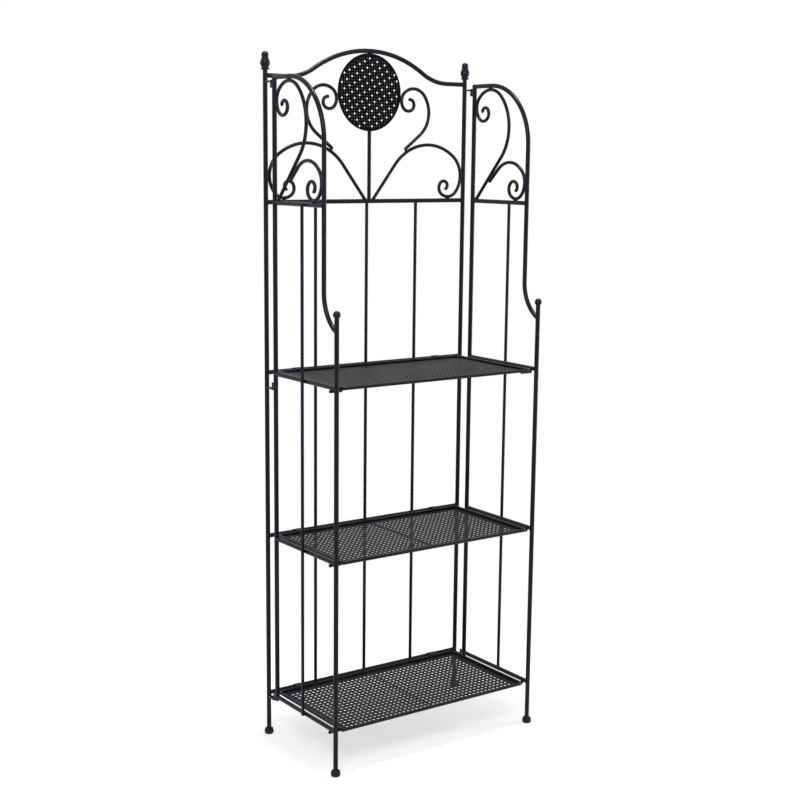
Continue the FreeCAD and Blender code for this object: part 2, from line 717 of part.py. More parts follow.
# Shelves: a mitred rim, a pierced sheet under it, a rib, and straps round the back rail
rim_x = size("post_spacing") / 2 - size("rail_diameter") / 2 - size("shelf_side_gap")
rim_x -= size("rim_diameter") / 2
rim_back = size("frame_depth") / 2 - size("rim_setback")
rim_front = -size("frame_depth") / 2
rim_middle = (rim_back + rim_front) / 2
rim_depth = rim_back - rim_front
for level, word in enumerate(LEVELS):
    rim_height = rail_height(level) + size("rim_rise")
    under_rim = rim_height - size("rim_diameter") / 2

    def rim_plane(x, y, z=rim_height):
        """The plane of this shelf's rim rods."""
        return FreeCAD.Vector(x, y, z)

    def sheet_plane(x, y, z=under_rim):
        """The top of this shelf's sheet."""
        return FreeCAD.Vector(x, y, z)

    rim_path = Path((0, rim_front), 0, rim_plane).line(rim_x)
    for length in (rim_depth, 2 * rim_x, rim_depth, rim_x):
        rim_path.heading += math.pi / 2
        rim_path.line(length)
    rim = bend(word + "_shelf_rim", rim_path,
               flat_section(word + "_rim_section", TUBE_SIDES, "Sizes.rim_diameter"))
    rim.Transition = "Right corner"
    node(word + "_shelf_rim", rim)

    corners = [(-rim_x, rim_front), (rim_x, rim_front), (rim_x, rim_back), (-rim_x, rim_back)]
    border = size("sheet_border")
    places = [(x, rim_middle + y)
              for x in spread(2 * (rim_x - border), size("mesh_pitch_x"))
              for y in spread(rim_depth - 2 * border, size("mesh_pitch_y"))]
    mesh = [diamond(sheet_plane, x, y, size("mesh_hole")) for x, y in places]
    node(word + "_shelf_sheet",
         plate(word + "_shelf_sheet", polygon([sheet_plane(*corner) for corner in corners]), mesh,
               FreeCAD.Vector(0, 0, -1), "Sizes.sheet_thickness"))

    node(word + "_shelf_rib",
         block(word + "_shelf_rib", "-Sizes.rib_width / 2", "-" + REAR,
               "%s - Sizes.rib_thickness" % sheet_z(level), "Sizes.rib_width",
               "Sizes.frame_depth - Sizes.rim_setback", "Sizes.rib_thickness"))

    bore_radius = size("rail_diameter") / 2 + size("strap_clearance")
    ring_radius = bore_radius + size("strap_thickness")
    seat_radius = size("rim_diameter") / 2 / math.cos(math.pi / TUBE_SIDES)
    back, lift = size("rim_setback"), size("rim_rise")
    lean = (math.atan2(lift, -back)
            - math.acos((bore_radius - seat_radius) / math.hypot(back, lift)))
    strap_x = -(rim_x - size("strap_inset")) - size("strap_width") / 2

    def strap_point(rise, run, x=strap_x, lean=lean, z=rail_height(level)):
        """A point square to the strap's tail and along it, from the rail's axis."""
        return FreeCAD.Vector(x, size("frame_depth") / 2 + rise * math.cos(lean) - run * math.sin(lean),
                              z + rise * math.sin(lean) + run * math.cos(lean))

    tail = math.sqrt(back ** 2 + lift ** 2 - (bore_radius - seat_radius) ** 2)
    tail += size("strap_tail")
    half_chord = math.sqrt(ring_radius ** 2 - bore_radius ** 2)
    round_turn = 2 * math.pi - math.atan2(half_chord, bore_radius)
    ring_step = round_turn / RING_SIDES
    ring = [strap_point(ring_radius, 0)]
    for n in range(RING_SIDES):
        turn = (n + 0.5) * ring_step
        corner = ring_radius / math.cos(ring_step / 2)
        ring.append(strap_point(corner * math.cos(turn), -corner * math.sin(turn)))
    ring += [strap_point(bore_radius, half_chord), strap_point(bore_radius, tail),
             strap_point(ring_radius, tail)]
    bore_corner = bore_radius / math.cos(math.pi / BORE_SIDES)
    turns = [2 * math.pi * (n + 0.5) / BORE_SIDES for n in range(BORE_SIDES)]
    bore = [strap_point(bore_corner * math.cos(turn), bore_corner * math.sin(turn)) for turn in turns]
    strap = plate("left_%s_strap" % word, polygon(ring), [polygon(bore)], to_right,
                  "Sizes.strap_width")
    node(word + "_hinge_straps",
         compound(word + "_hinge_straps", [strap, mirror("right_%s_strap" % word, strap)]))

doc.recompute()

for obj in doc.Objects:
    if "Invalid" in obj.State or "Error" in obj.State:
        raise RuntimeError("%s did not build" % obj.Name)
for obj in nodes:
    if obj.Shape.isNull() or not obj.Shape.isValid() or not obj.Shape.Solids:
        raise RuntimeError("%s has no valid solid" % obj.Label)

os.makedirs("parts", exist_ok=True)
for obj in nodes:
    obj.Shape.exportStep(os.path.join("parts", obj.Label + ".step"))
    print(obj.Label, len(obj.Shape.Solids), round(obj.Shape.Volume, 1))
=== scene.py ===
"""Dresses a folding bakers rack of black painted steel rod.

Metres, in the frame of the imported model: X runs across, +Y to the back, +Z up, and the origin
lies on the floor in the middle of the four feet. Bent and turned pieces are made here smooth
and round, in the space of the solids that they stand for.
"""

import logging
import math
from dataclasses import dataclass, field
from enum import Enum
from typing import Any, Callable, Iterator, Optional, Sequence, Union

import bmesh
import bpy
from mathutils import Matrix, Vector


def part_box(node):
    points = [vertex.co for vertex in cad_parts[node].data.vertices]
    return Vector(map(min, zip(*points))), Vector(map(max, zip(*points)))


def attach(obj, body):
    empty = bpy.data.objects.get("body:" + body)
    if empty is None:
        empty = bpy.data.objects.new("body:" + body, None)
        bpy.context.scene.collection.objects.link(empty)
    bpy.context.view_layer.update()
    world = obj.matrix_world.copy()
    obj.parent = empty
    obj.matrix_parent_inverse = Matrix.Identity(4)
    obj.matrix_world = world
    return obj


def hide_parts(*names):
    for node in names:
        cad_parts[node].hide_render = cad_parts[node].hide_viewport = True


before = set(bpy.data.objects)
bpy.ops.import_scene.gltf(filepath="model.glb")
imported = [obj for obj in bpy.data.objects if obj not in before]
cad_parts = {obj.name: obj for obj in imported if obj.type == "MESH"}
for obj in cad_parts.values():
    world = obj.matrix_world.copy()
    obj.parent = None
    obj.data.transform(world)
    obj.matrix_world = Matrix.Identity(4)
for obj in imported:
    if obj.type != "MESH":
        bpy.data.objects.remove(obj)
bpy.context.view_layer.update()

log = logging.getLogger("bakers_rack")

Plane = Callable[[float, float], Vector]
Point = tuple[float, float]
Place = tuple[float, float, float]
Colour = tuple[float, float, float, float]
Key = Union[int, str]
Settings = Optional[dict[str, Any]]
Values = Optional[dict[Key, Any]]

# Headings in a panel's plane, in degrees: along its first axis, against it, and down
ALONG = 0.0
AGAINST = 180.0
DOWN = 270.0

# Turns in degrees
QUARTER = 90.0
FULL = 360.0

ACROSS = Vector((1, 0, 0))
BACK = Vector((0, 1, 0))
UP = Vector((0, 0, 1))
WHITE = (1.0, 1.0, 1.0, 1.0)

# How finely bends and round pieces are divided
ARC_STEP = math.radians(2.5)
ROD_SIDES = 24
THIN_ROD_SIDES = 18
RIM_SIDES = 16
SCROLL_SIDES = 14
HEM_SIDES = 10
TURNED_SIDES = 40

# How far up a ball is round, below the small flat on its top
CROWN = math.radians(84.0)

# The room left between bars that touch, and how far from the touching point a foot's beads lie
TOUCH_GAP = 0.0001
FOOT_BEAD = 0.0024


class Hand(Enum):
    """Which side of the rack, as the sign of X."""

    LEFT = -1
    RIGHT = 1

    @property
    def word(self) -> str:
        """The side's name in a node's name."""
        return self.name.lower()


class Level(Enum):
    """Which of the three shelves."""

    BOTTOM = "bottom"
    MIDDLE = "middle"
    TOP = "top"


class Slot(Enum):
    """The record's material slots."""

    FRAME = "frame_paint"
    SHELF = "shelf_paint"


class Flow:
    """A socket whose value can stand in a Python expression."""

    def __init__(self, bench: "Bench", socket: bpy.types.NodeSocket) -> None:
        """Wrap an output socket of a bench's tree."""
        self.bench = bench
        self.socket = socket

    def _math(self, operation: str, first: Any, second: Any) -> "Flow":
        """Add a Math node.

        Args:
            operation: the Math node's operation.
            first: its first value or flow.
            second: its second value or flow.

        Returns:
            The node's result.
        """
        return self.bench.step("ShaderNodeMath", {"operation": operation}, {0: first, 1: second})

    def __add__(self, other: Any) -> "Flow":
        """This plus another."""
        return self._math("ADD", self, other)

    def __radd__(self, other: Any) -> "Flow":
        """Another plus this."""
        return self._math("ADD", other, self)

    def __sub__(self, other: Any) -> "Flow":
        """This less another."""
        return self._math("SUBTRACT", self, other)

    def __rsub__(self, other: Any) -> "Flow":
        """Another less this."""
        return self._math("SUBTRACT", other, self)

    def __mul__(self, other: Any) -> "Flow":
        """This times another."""
        return self._math("MULTIPLY", self, other)

    def __rmul__(self, other: Any) -> "Flow":
        """Another times this."""
        return self._math("MULTIPLY", other, self)

    def __truediv__(self, other: Any) -> "Flow":
        """This divided by another."""
        return self._math("DIVIDE", self, other)

    def __rtruediv__(self, other: Any) -> "Flow":
        """Another divided by this."""
        return self._math("DIVIDE", other, self)

    def __mod__(self, other: Any) -> "Flow":
        """What is left of this after division by another."""
        return self._math("MODULO", self, other)

    def __rmod__(self, other: Any) -> "Flow":
        """What is left of another after division by this."""
        return self._math("MODULO", other, self)

    def __lt__(self, other: Any) -> "Flow":
        """One where this is less than another."""
        return self._math("LESS_THAN", self, other)

    def __gt__(self, other: Any) -> "Flow":
        """One where this is greater than another."""
        return self._math("GREATER_THAN", self, other)

    def floor(self) -> "Flow":
        """The whole part."""
        return self._math("FLOOR", self, 0.0)

    def larger(self, other: Any) -> "Flow":
        """The larger of two."""
        return self._math("MAXIMUM", self, other)


class Bench:
    """A node tree that nodes are added to and wired in."""

    def __init__(self, tree: bpy.types.NodeTree) -> None:
        """Work on a tree."""
        self.tree = tree

    @classmethod
    def emptied(cls, owner: Union[bpy.types.Material, bpy.types.World]) -> "Bench":
        """The node tree of a material or a world, with nothing in it yet.

        Args:
            owner: the material or the world.

        Returns:
            A bench that works on the tree.
        """
        owner.use_nodes = True
        owner.node_tree.nodes.clear()
        return cls(owner.node_tree)

    @staticmethod
    def _find(sockets: Any, key: Key) -> bpy.types.NodeSocket:
        """A socket by its place, its identifier or its name.

        Args:
            sockets: a node's inputs or outputs.
            key: the place, identifier or name.

        Returns:
            The socket.
        """
        if isinstance(key, int):
            return sockets[key]
        for socket in sockets:
            if socket.identifier == key:
                return socket
        return sockets[key]

    def node(self, kind: str, settings: Settings = None, values: Values = None) -> bpy.types.Node:
        """Add a node.

        Args:
            kind: the node's type.
            settings: its settings, with a ramp's stops under "stops".
            values: a value, a flow or a list of flows for each socket.

        Returns:
            The node.
        """
        node = self.tree.nodes.new(kind)
        for key, value in (settings or {}).items():
            if key == "stops":
                self._set_stops(node, value)
            else:
                setattr(node, key, value)
        for key, value in (values or {}).items():
            socket = self._find(node.inputs, key)
            for flow in value if isinstance(value, list) else [value]:
                if isinstance(flow, Flow):
                    self.tree.links.new(flow.socket, socket)
                else:
                    socket.default_value = flow
        return node

    @staticmethod
    def _set_stops(node: bpy.types.Node, stops: Sequence[tuple[float, Colour]]) -> None:
        """Give a ramp its stops.

        Args:
            node: the ramp.
            stops: each stop's place and colour.
        """
        elements = node.color_ramp.elements
        while len(elements) < len(stops):
            elements.new(1.0)
        for element, (place, colour) in zip(elements, stops):
            element.position = place
            element.color = colour

    def out(self, node: bpy.types.Node, key: Key = 0) -> Flow:
        """An output of a node."""
        return Flow(self, self._find(node.outputs, key))

    def step(self, kind: str, settings: Settings = None, values: Values = None, key: Key = 0) -> Flow:
        """Add a node and return one of its outputs.

        Args:
            kind: the node's type.
            settings: its settings.
            values: its sockets' values.
            key: which output to return.

        Returns:
            The output.
        """
        return self.out(self.node(kind, settings, values), key)


def srgb(code: str) -> Colour:
    """A colour from its six hex digits.

    Args:
        code: red, green and blue as written on a colour card.

    Returns:
        The colour in linear light, opaque.
    """
    parts = [int(code[n:n + 2], 16) / 255 for n in (0, 2, 4)]
    linear = [c / 12.92 if c <= 0.04045 else ((c + 0.055) / 1.055) ** 2.4 for c in parts]
    return (linear[0], linear[1], linear[2], 1.0)


def placed(name: str, data: bpy.types.ID) -> bpy.types.Object:
    """A new object in the scene.

    Args:
        name: the object's name.
        data: its mesh, light or camera.

    Returns:
        The object.
    """
    made = bpy.data.objects.new(name, data)
    bpy.context.scene.collection.objects.link(made)
    return made


def poured(name: str, shape: bmesh.types.BMesh) -> bpy.types.Mesh:
    """A mesh from a shape.

    Args:
        name: the mesh's name.
        shape: the shape, which is used up.

    Returns:
        The mesh.
    """
    mesh = bpy.data.meshes.new(name)
    shape.to_mesh(mesh)
    shape.free()
    return mesh


@dataclass(frozen=True)
class Paint:
    """A sprayed paint film on steel, with cloudy colour and a fine orange-peel skin.

    A noise is given as its waves to the metre and its octaves.
    """

    name: str
    shade: str
    tint: str
    roughness: float
    spread: float
    coat: float
    gloss: float
    cloud: Point = (9.0, 4.0)
    peel: Point = (900.0, 2.0)
    speck: Point = (1900.0, 1.0)
    grain: float = 0.55
    speck_share: float = 0.10
    shade_stop: float = 0.30
    tint_stop: float = 0.72
    peel_depth: float = 0.00012
    peel_strength: float = 0.06
    coat_roughness: float = 0.12

    NOISE_MEAN = 0.5

    def material(self) -> bpy.types.Material:
        """Build the paint's material.

        Returns:
            The material.
        """
        material = bpy.data.materials.new(self.name)
        bench = Bench.emptied(material)
        place = bench.step("ShaderNodeTexCoord", key="Object")
        cloud, peel, speck = (
            bench.step("ShaderNodeTexNoise", None,
                       {"Vector": place, "Scale": scale, "Detail": detail, "Roughness": self.grain})
            for scale, detail in (self.cloud, self.peel, self.speck))
        stops = ((self.shade_stop, srgb(self.shade)), (self.tint_stop, srgb(self.tint)))
        colour = bench.step("ShaderNodeValToRGB", {"stops": stops},
                            {"Fac": cloud * (1.0 - self.speck_share) + speck * self.speck_share})
        roughness = (self.roughness + self.spread * (cloud - self.NOISE_MEAN)
                     + self.spread / 2 * (peel - self.NOISE_MEAN))
        bump = bench.step("ShaderNodeBump", None, {"Strength": self.peel_strength,
                                                   "Distance": self.peel_depth, "Height": peel})
        shader = bench.step("ShaderNodeBsdfPrincipled", None,
                            {"Base Color": colour, "Roughness": roughness, "Coat Weight": self.coat,
                             "Coat Roughness": self.coat_roughness, "Specular IOR Level": self.gloss,
                             "Normal": bump})
        bench.node("ShaderNodeOutputMaterial", None, {"Surface": shader})
        return material


class Finish(Enum):
    """The finishes of the rack's pieces."""

    FRAME = Paint("satin_black_frame", "08070d", "1a1629", 0.27, 0.08, 0.02, 0.15)
    SHELF = Paint("satin_black_shelf", "222221", "353535", 0.55, 0.14, 0.0, 0.05)
    DISC = Paint("matt_black_disc", "050507", "0f0d13", 0.45, 0.12, 0.0, 0.04)
    BEAD = Paint("painted_weld", "09080e", "181522", 0.36, 0.16, 0.0, 0.15)
    CAP = Paint("moulded_foot", "0b0b0d", "16151a", 0.44, 0.12, 0.0, 0.20)


@dataclass(frozen=True)
class Extent:
    """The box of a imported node."""

    low: Vector
    high: Vector

    @classmethod
    def of(cls, node: str) -> "Extent":
        """The box of a node by its name."""
        low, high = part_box(node)
        return cls(Vector(low), Vector(high))

    @property
    def centre(self) -> Vector:
        """The middle of the box."""
        return (self.low + self.high) / 2

    @property
    def sides(self) -> Vector:
        """The box's three sides."""
        return self.high - self.low

    @property
    def radius(self) -> float:
        """Half the thinnest side, which is a rod's radius."""
        return min(self.sides) / 2


class Route:
    """A centre line of straight stretches and tangent arcs in a panel's plane."""

    def __init__(self, start: Point, heading: float, plane: Plane) -> None:
        """Begin a line.

        Args:
            start: where it begins in the plane.
            heading: which way it sets out, in degrees.
            plane: turns a place in the plane into a point.
        """
        self.at = start
        self.heading = math.radians(heading)
        self.plane = plane
        self.points = [plane(*start)]

    def _go(self, along: float, left: float) -> Point:
        """A place ahead and to the left of where the line is."""
        ahead = (math.cos(self.heading), math.sin(self.heading))
        return (self.at[0] + ahead[0] * along - ahead[1] * left,
                self.at[1] + ahead[1] * along + ahead[0] * left)

    def line(self, length: float) -> "Route":
        """Go straight on.

        Args:
            length: how far.

        Returns:
            The route.
        """
        self.at = self._go(length, 0.0)
        self.points.append(self.plane(*self.at))
        return self

    def arc(self, radius: float, turn: float) -> "Route":
        """Turn along an arc.

        Args:
            radius: the arc's radius.
            turn: degrees, positive to the left.

        Returns:
            The route.
        """
        full = math.radians(turn)
        side = math.copysign(radius, full)
        count = max(2, math.ceil(abs(full) / ARC_STEP))
        stops = [self._go(radius * math.sin(abs(full) * n / count),
                          side * (1 - math.cos(full * n / count))) for n in range(1, count + 1)]
        self.points += [self.plane(*stop) for stop in stops]
        self.at = stops[-1]
        self.heading += full
        return self


@dataclass
class Scroll:
    """A bar that runs straight, then curls in quarter turns that tighten to its eye."""

    start: Point
    lean: float
    ratio: float
    hand: int
    turn: float = 575.0
    eye: float = 0.008
    length: float = 0.0
    radius: float = 0.0

    @property
    def ahead(self) -> Point:
        """The way of the straight run, as a unit vector."""
        lean = math.radians(self.lean)
        return math.cos(lean), math.sin(lean)

    def quarters(self, turn: float) -> Iterator[tuple[float, float, float]]:
        """The quarter turns up to a turn.

        Args:
            turn: degrees from the start of the curl.

        Yields:
            The share of the first radius, the share of the eye's, and the step in degrees.
        """
        for n in range(math.ceil(turn / QUARTER)):
            yield self.ratio ** n, 1 - self.ratio ** n, min(QUARTER, turn - n * QUARTER)

    def reach(self, axis: int, turn: float) -> Point:
        """How far the curl comes along an axis.

        Args:
            axis: 0 across the plane, 1 up it.
            turn: degrees from the start of the curl.

        Returns:
            The reach for each unit of the first radius, and the reach that the eye adds.
        """
        heading = math.radians(self.lean)
        per_radius, from_eye = 0.0, 0.0
        for share, rest, step in self.quarters(turn):
            after = heading + self.hand * math.radians(step)
            move = (math.sin(after) - math.sin(heading), math.cos(heading) - math.cos(after))
            per_radius += self.hand * share * move[axis]
            from_eye += self.hand * rest * self.eye * move[axis]
            heading = after
        return per_radius, from_eye

    def turn_to(self, heading: float) -> float:
        """The turn after which the bar first heads a given way, in degrees."""
        return (self.hand * (heading - self.lean)) % FULL

    def touch(self, *stops: tuple[int, float, float]) -> "Scroll":
        """Settle the straight length and the first radius.

        Args:
            stops: two of them, each an axis, the heading there and the place along the axis.

        Returns:
            The scroll.
        """
        rows = []
        for axis, heading, value in stops:
            per_radius, from_eye = self.reach(axis, self.turn_to(heading))
            rows.append((self.ahead[axis], per_radius, value - self.start[axis] - from_eye))
        (a, b, e), (c, d, f) = rows
        self.length = (e * d - b * f) / (a * d - b * c)
        self.radius = (a * f - e * c) / (a * d - b * c)
        return self

    def point(self, turn: float) -> Point:
        """A place on the bar's line.

        Args:
            turn: degrees from the start of the curl.

        Returns:
            The place in the plane.
        """
        reaches = [self.reach(axis, turn) for axis in (0, 1)]
        moves = [self.length * self.ahead[n] + reaches[n][0] * self.radius + reaches[n][1] for n in (0, 1)]
        return self.start[0] + moves[0], self.start[1] + moves[1]

    def route(self, plane: Plane) -> Route:
        """The bar's centre line.

        Args:
            plane: turns a place in the panel's plane into a point.

        Returns:
            The line from the bar's foot to its eye.
        """
        path = Route(self.start, self.lean, plane).line(self.length)
        for share, rest, step in self.quarters(self.turn):
            path.arc(share * self.radius + rest * self.eye, self.hand * step)
        return path


def foot_beside(place: Point, heading: float, bar: float) -> tuple[Vector, Point]:
    """Set a bar's foot against the left side of another bar.

    Args:
        place: a place on the other bar's line.
        heading: which way the other bar heads there, in degrees.
        bar: the radius of both.

    Returns:
        Where the two touch, and where the line of the first begins.
    """
    way = math.radians(heading)
    left = Vector((-math.sin(way), math.cos(way)))
    seat = Vector(place) + left * bar
    foot = seat + left * (bar + TOUCH_GAP)
    return seat, (foot.x, foot.y)


@dataclass
class RodLine:
    """The centre line of one rod, and which of its ends are rounded over."""

    points: list[Vector]
    closed: bool = False
    round_start: bool = False
    round_end: bool = False

    DOME = (0.04, 0.18, 0.45, 0.75)
    DOME_DEPTH = 0.6

    def girths(self, radius: float) -> tuple[list[Vector], list[float]]:
        """The line's points, with those of its domed ends, and the girth at each.

        Args:
            radius: the rod's radius.

        Returns:
            The points, and the share of the radius at each.
        """
        points, girths = list(self.points), [1.0] * len(self.points)
        if self.round_start:
            points, girths = self._domed(points, girths, radius)
        if self.round_end:
            points, girths = self._domed(points[::-1], girths[::-1], radius)
        return points, girths

    def _domed(self, points: list[Vector], girths: list[float],
               radius: float) -> tuple[list[Vector], list[float]]:
        """Round over the first end of a line.

        Args:
            points: the line's points.
            girths: the girth at each.
            radius: the rod's radius.

        Returns:
            The points and the girths with the dome's added.
        """
        depth = self.DOME_DEPTH * radius
        ahead = (points[1] - points[0]).normalized()
        dome = [points[0] + ahead * depth * share for share in self.DOME]
        rounds = [math.sqrt(1 - (1 - share) ** 2) for share in self.DOME]
        shoulder = points[0] + ahead * depth
        return dome + [shoulder] + points[1:], rounds + [1.0] + girths[1:]


@dataclass
class Beads:
    """Places for the beads of weld at a sub-assembly's joints.

    Pitches are in bead radii.
    """

    radius: float = 0.0013
    places: list[Vector] = field(default_factory=list)
    girths: list[float] = field(default_factory=list)

    SADDLE_PITCH = 1.3
    SADDLE_LEAST = 8
    TACK_PITCH = 1.25
    TACK_FADE = 0.12
    CROSSING_SHARE = 0.55

    def add(self, place: Vector, share: float = 1.0) -> None:
        """Put one bead at a place, with its share of the usual radius."""
        self.places.append(place)
        self.girths.append(self.radius * share)

    def saddle(self, end: Vector, along: Vector, radius: float, post: float, up: Vector = UP) -> None:
        """Beads round a rod where it runs square into a post.

        Args:
            end: where the rod's axis meets the post's.
            along: unit vector from the post into the rod.
            radius: the rod's radius.
            post: the post's radius.
            up: unit vector along the post.
        """
        side = up.cross(along)
        count = max(self.SADDLE_LEAST, round(math.tau * radius / (self.SADDLE_PITCH * self.radius)))
        for n in range(count):
            turn = math.tau * n / count
            across = radius * math.cos(turn)
            depth = math.sqrt(max(post ** 2 - across ** 2, 0.0))
            self.add(end + along * depth + side * across + up * (radius * math.sin(turn)))

    def tack(self, place: Vector, along: Vector, across: Vector, offset: float = 0.0021,
             steps: int = 2) -> None:
        """Two short runs of beads in the valleys beside a touching point.

        Args:
            place: the touching point.
            along: unit vector along the two bars.
            across: unit vector out of the valley.
            offset: how far the runs lie from the touching point.
            steps: beads on each side of the middle one.
        """
        pitch = self.radius * self.TACK_PITCH
        for side in (-1, 1):
            run = place + across * (side * offset)
            for n in range(-steps, steps + 1):
                self.add(run + along * (n * pitch), 1.0 - self.TACK_FADE * abs(n))

    def crossing(self, place: Vector, along: Vector, rod: float) -> None:
        """Four runs of beads where a rod lies across a rail.

        Args:
            place: the touching point.
            along: unit vector along the rod.
            rod: the rod's radius.
        """
        beside = along.orthogonal().normalized()
        for turn in (0.0, QUARTER):
            axis = Matrix.Rotation(math.radians(turn), 3, along) @ beside
            for side in (-1, 1):
                for n in (-1, 0, 1):
                    self.add(place + axis * (side * rod * self.CROSSING_SHARE) + along * (n * self.radius))


class GeometryTree(Bench):
    """A tree of geometry nodes with named inputs, built once and used by many pieces."""

    CREASE = math.radians(50.0)

    def __init__(self, name: str, inputs: Sequence[tuple[str, str]]) -> None:
        """Start a tree.

        Args:
            name: the tree's name.
            inputs: each input's title and its socket's kind.
        """
        super().__init__(bpy.data.node_groups.new(name, "GeometryNodeTree"))
        face = self.tree.interface
        face.new_socket("Geometry", in_out="INPUT", socket_type="NodeSocketGeometry")
        self.keys = {title: face.new_socket(title, in_out="INPUT", socket_type=kind).identifier
                     for title, kind in (*inputs, ("Material", "NodeSocketMaterial"))}
        face.new_socket("Geometry", in_out="OUTPUT", socket_type="NodeSocketGeometry")
        self.entry = self.node("NodeGroupInput")

    def given(self, title: str) -> Flow:
        """One of the tree's inputs."""
        return self.out(self.entry, title)

    def girth(self) -> Flow:
        """The girth that each point of the input's mesh holds."""
        return self.step("GeometryNodeInputNamedAttribute", {"data_type": "FLOAT"}, {"Name": "girth"})

    def close(self, geometry: Flow) -> None:
        """End the tree: realize what it made and give it its material.

        Args:
            geometry: what the tree made.
        """
        real = self.step("GeometryNodeRealizeInstances", None, {"Geometry": geometry})
        dressed = self.step("GeometryNodeSetMaterial", None,
                            {"Geometry": real, "Material": self.given("Material")})
        self.node("NodeGroupOutput", None, {0: dressed})

    def smooth(self, mesh: Flow) -> Flow:
        """Smooth a mesh's faces, apart from the edges that are sharper than the crease.

        Args:
            mesh: the mesh.

        Returns:
            The mesh, with its edges marked.
        """
        soft = self.step("GeometryNodeSetShadeSmooth", {"domain": "FACE"}, {"Geometry": mesh})
        blunt = self.step("GeometryNodeInputMeshEdgeAngle") < self.CREASE
        return self.step("GeometryNodeSetShadeSmooth", {"domain": "EDGE"},
                         {"Geometry": soft, "Shade Smooth": blunt})

    def run(self, piece: bpy.types.Object, **values: Any) -> None:
        """Run the tree on a piece and keep the result as its plain mesh.

        Args:
            piece: an object whose mesh is the tree's input.
            values: the tree's inputs, with spaces in their titles written as underscores.
        """
        modifier = piece.modifiers.new(self.tree.name, "NODES")
        modifier.node_group = self.tree
        for title, value in values.items():
            modifier[self.keys[title.replace("_", " ")]] = value
        depsgraph = bpy.context.evaluated_depsgraph_get()
        made = bpy.data.meshes.new_from_object(piece.evaluated_get(depsgraph))
        piece.modifiers.clear()
        spent = piece.data
        piece.data = made
        made.name = piece.name
        bpy.data.meshes.remove(spent)


class RodTree(GeometryTree):
    """Round rods along the edges of a mesh, each point with its share of the girth."""

    def __init__(self) -> None:
        """Build the tree."""
        super().__init__("rod_along_line", (("Radius", "NodeSocketFloat"), ("Sides", "NodeSocketInt")))
        curve = self.step("GeometryNodeMeshToCurve", None, {"Mesh": self.given("Geometry")})
        ring = self.step("GeometryNodeCurvePrimitiveCircle", None,
                         {"Resolution": self.given("Sides"), "Radius": self.given("Radius")})
        rod = self.step("GeometryNodeCurveToMesh", None, {"Curve": curve, "Profile Curve": ring,
                                                          "Scale": self.girth(), "Fill Caps": True})
        self.close(self.smooth(rod))


class PiercedTree(GeometryTree):
    """A flat sheet, cut to an outline and pierced with a grid of round holes.

    Every so many holes of the grid are large and the rest are small. With a stride of one all
    of them are large.
    """

    HOLE_SIDES = 12
    ROW_STEP = 3.0
    HALF_STEP = 0.5
    MERGE = 0.00001

    def __init__(self) -> None:
        """Build the tree."""
        super().__init__("pierced_sheet", (
            ("Columns", "NodeSocketInt"), ("Rows", "NodeSocketInt"),
            ("Column Pitch", "NodeSocketFloat"), ("Row Pitch", "NodeSocketFloat"),
            ("Hole", "NodeSocketFloat"), ("Small Hole", "NodeSocketFloat"),
            ("Stride", "NodeSocketInt"), ("Reach", "NodeSocketFloat"),
            ("Grid Centre", "NodeSocketVector"), ("Thickness", "NodeSocketFloat"),
            ("Place", "NodeSocketVector"), ("Tilt", "NodeSocketVector")))
        columns, rows = self.given("Columns"), self.given("Rows")
        grid = self.step("GeometryNodeMeshGrid", None,
                         {"Size X": (columns - 1) * self.given("Column Pitch"),
                          "Size Y": (rows - 1) * self.given("Row Pitch"),
                          "Vertices X": columns, "Vertices Y": rows})
        centred = self.step("GeometryNodeTransform", None,
                            {"Geometry": grid, "Translation": self.given("Grid Centre")})
        outline = self.step("GeometryNodeMeshToCurve", None, {"Mesh": self.given("Geometry")})
        rings = self.step("GeometryNodeJoinGeometry", None, {0: [outline, self._holes(centred, rows)]})
        sheet = self.step("GeometryNodeFillCurve", {"mode": "TRIANGLES"}, {"Curve": rings})
        rise = self.step("ShaderNodeCombineXYZ", None, {"Z": self.given("Thickness")})
        top = self.step("GeometryNodeExtrudeMesh", {"mode": "FACES"},
                        {"Mesh": sheet, "Offset": rise, "Offset Scale": 1.0, "Individual": False})
        under = self.step("GeometryNodeFlipFaces", None, {"Mesh": sheet})
        both = self.step("GeometryNodeJoinGeometry", None, {0: [top, under]})
        whole = self.step("GeometryNodeMergeByDistance", None, {"Geometry": both, "Distance": self.MERGE})
        self.close(self.step("GeometryNodeTransform", None,
                             {"Geometry": self.smooth(whole), "Translation": self.given("Place"),
                              "Rotation": self.given("Tilt")}))

    def _holes(self, grid: Flow, rows: Flow) -> Flow:
        """Circles on the grid's points.

        Args:
            grid: the grid's mesh.
            rows: how many points it has along Y.

        Returns:
            The circles as curves.
        """
        index = self.step("GeometryNodeInputIndex")
        column = (index / rows).floor()
        number = column + (index % rows) * self.ROW_STEP
        large = number % self.given("Stride") < self.HALF_STEP
        small = 1 - large
        radius = (large * self.given("Hole") + small * self.given("Small Hole")) / 2
        place = self.step("GeometryNodeInputPosition")
        away = self.step("ShaderNodeVectorMath", {"operation": "LENGTH"}, {0: place}, "Value")
        ring = self.step("GeometryNodeCurvePrimitiveCircle", None,
                         {"Resolution": self.HOLE_SIDES, "Radius": 1.0})
        holes = self.step("GeometryNodeInstanceOnPoints", None,
                          {"Points": grid, "Selection": away + radius < self.given("Reach"),
                           "Instance": ring, "Scale": radius})
        return self.step("GeometryNodeRealizeInstances", None, {"Geometry": holes})


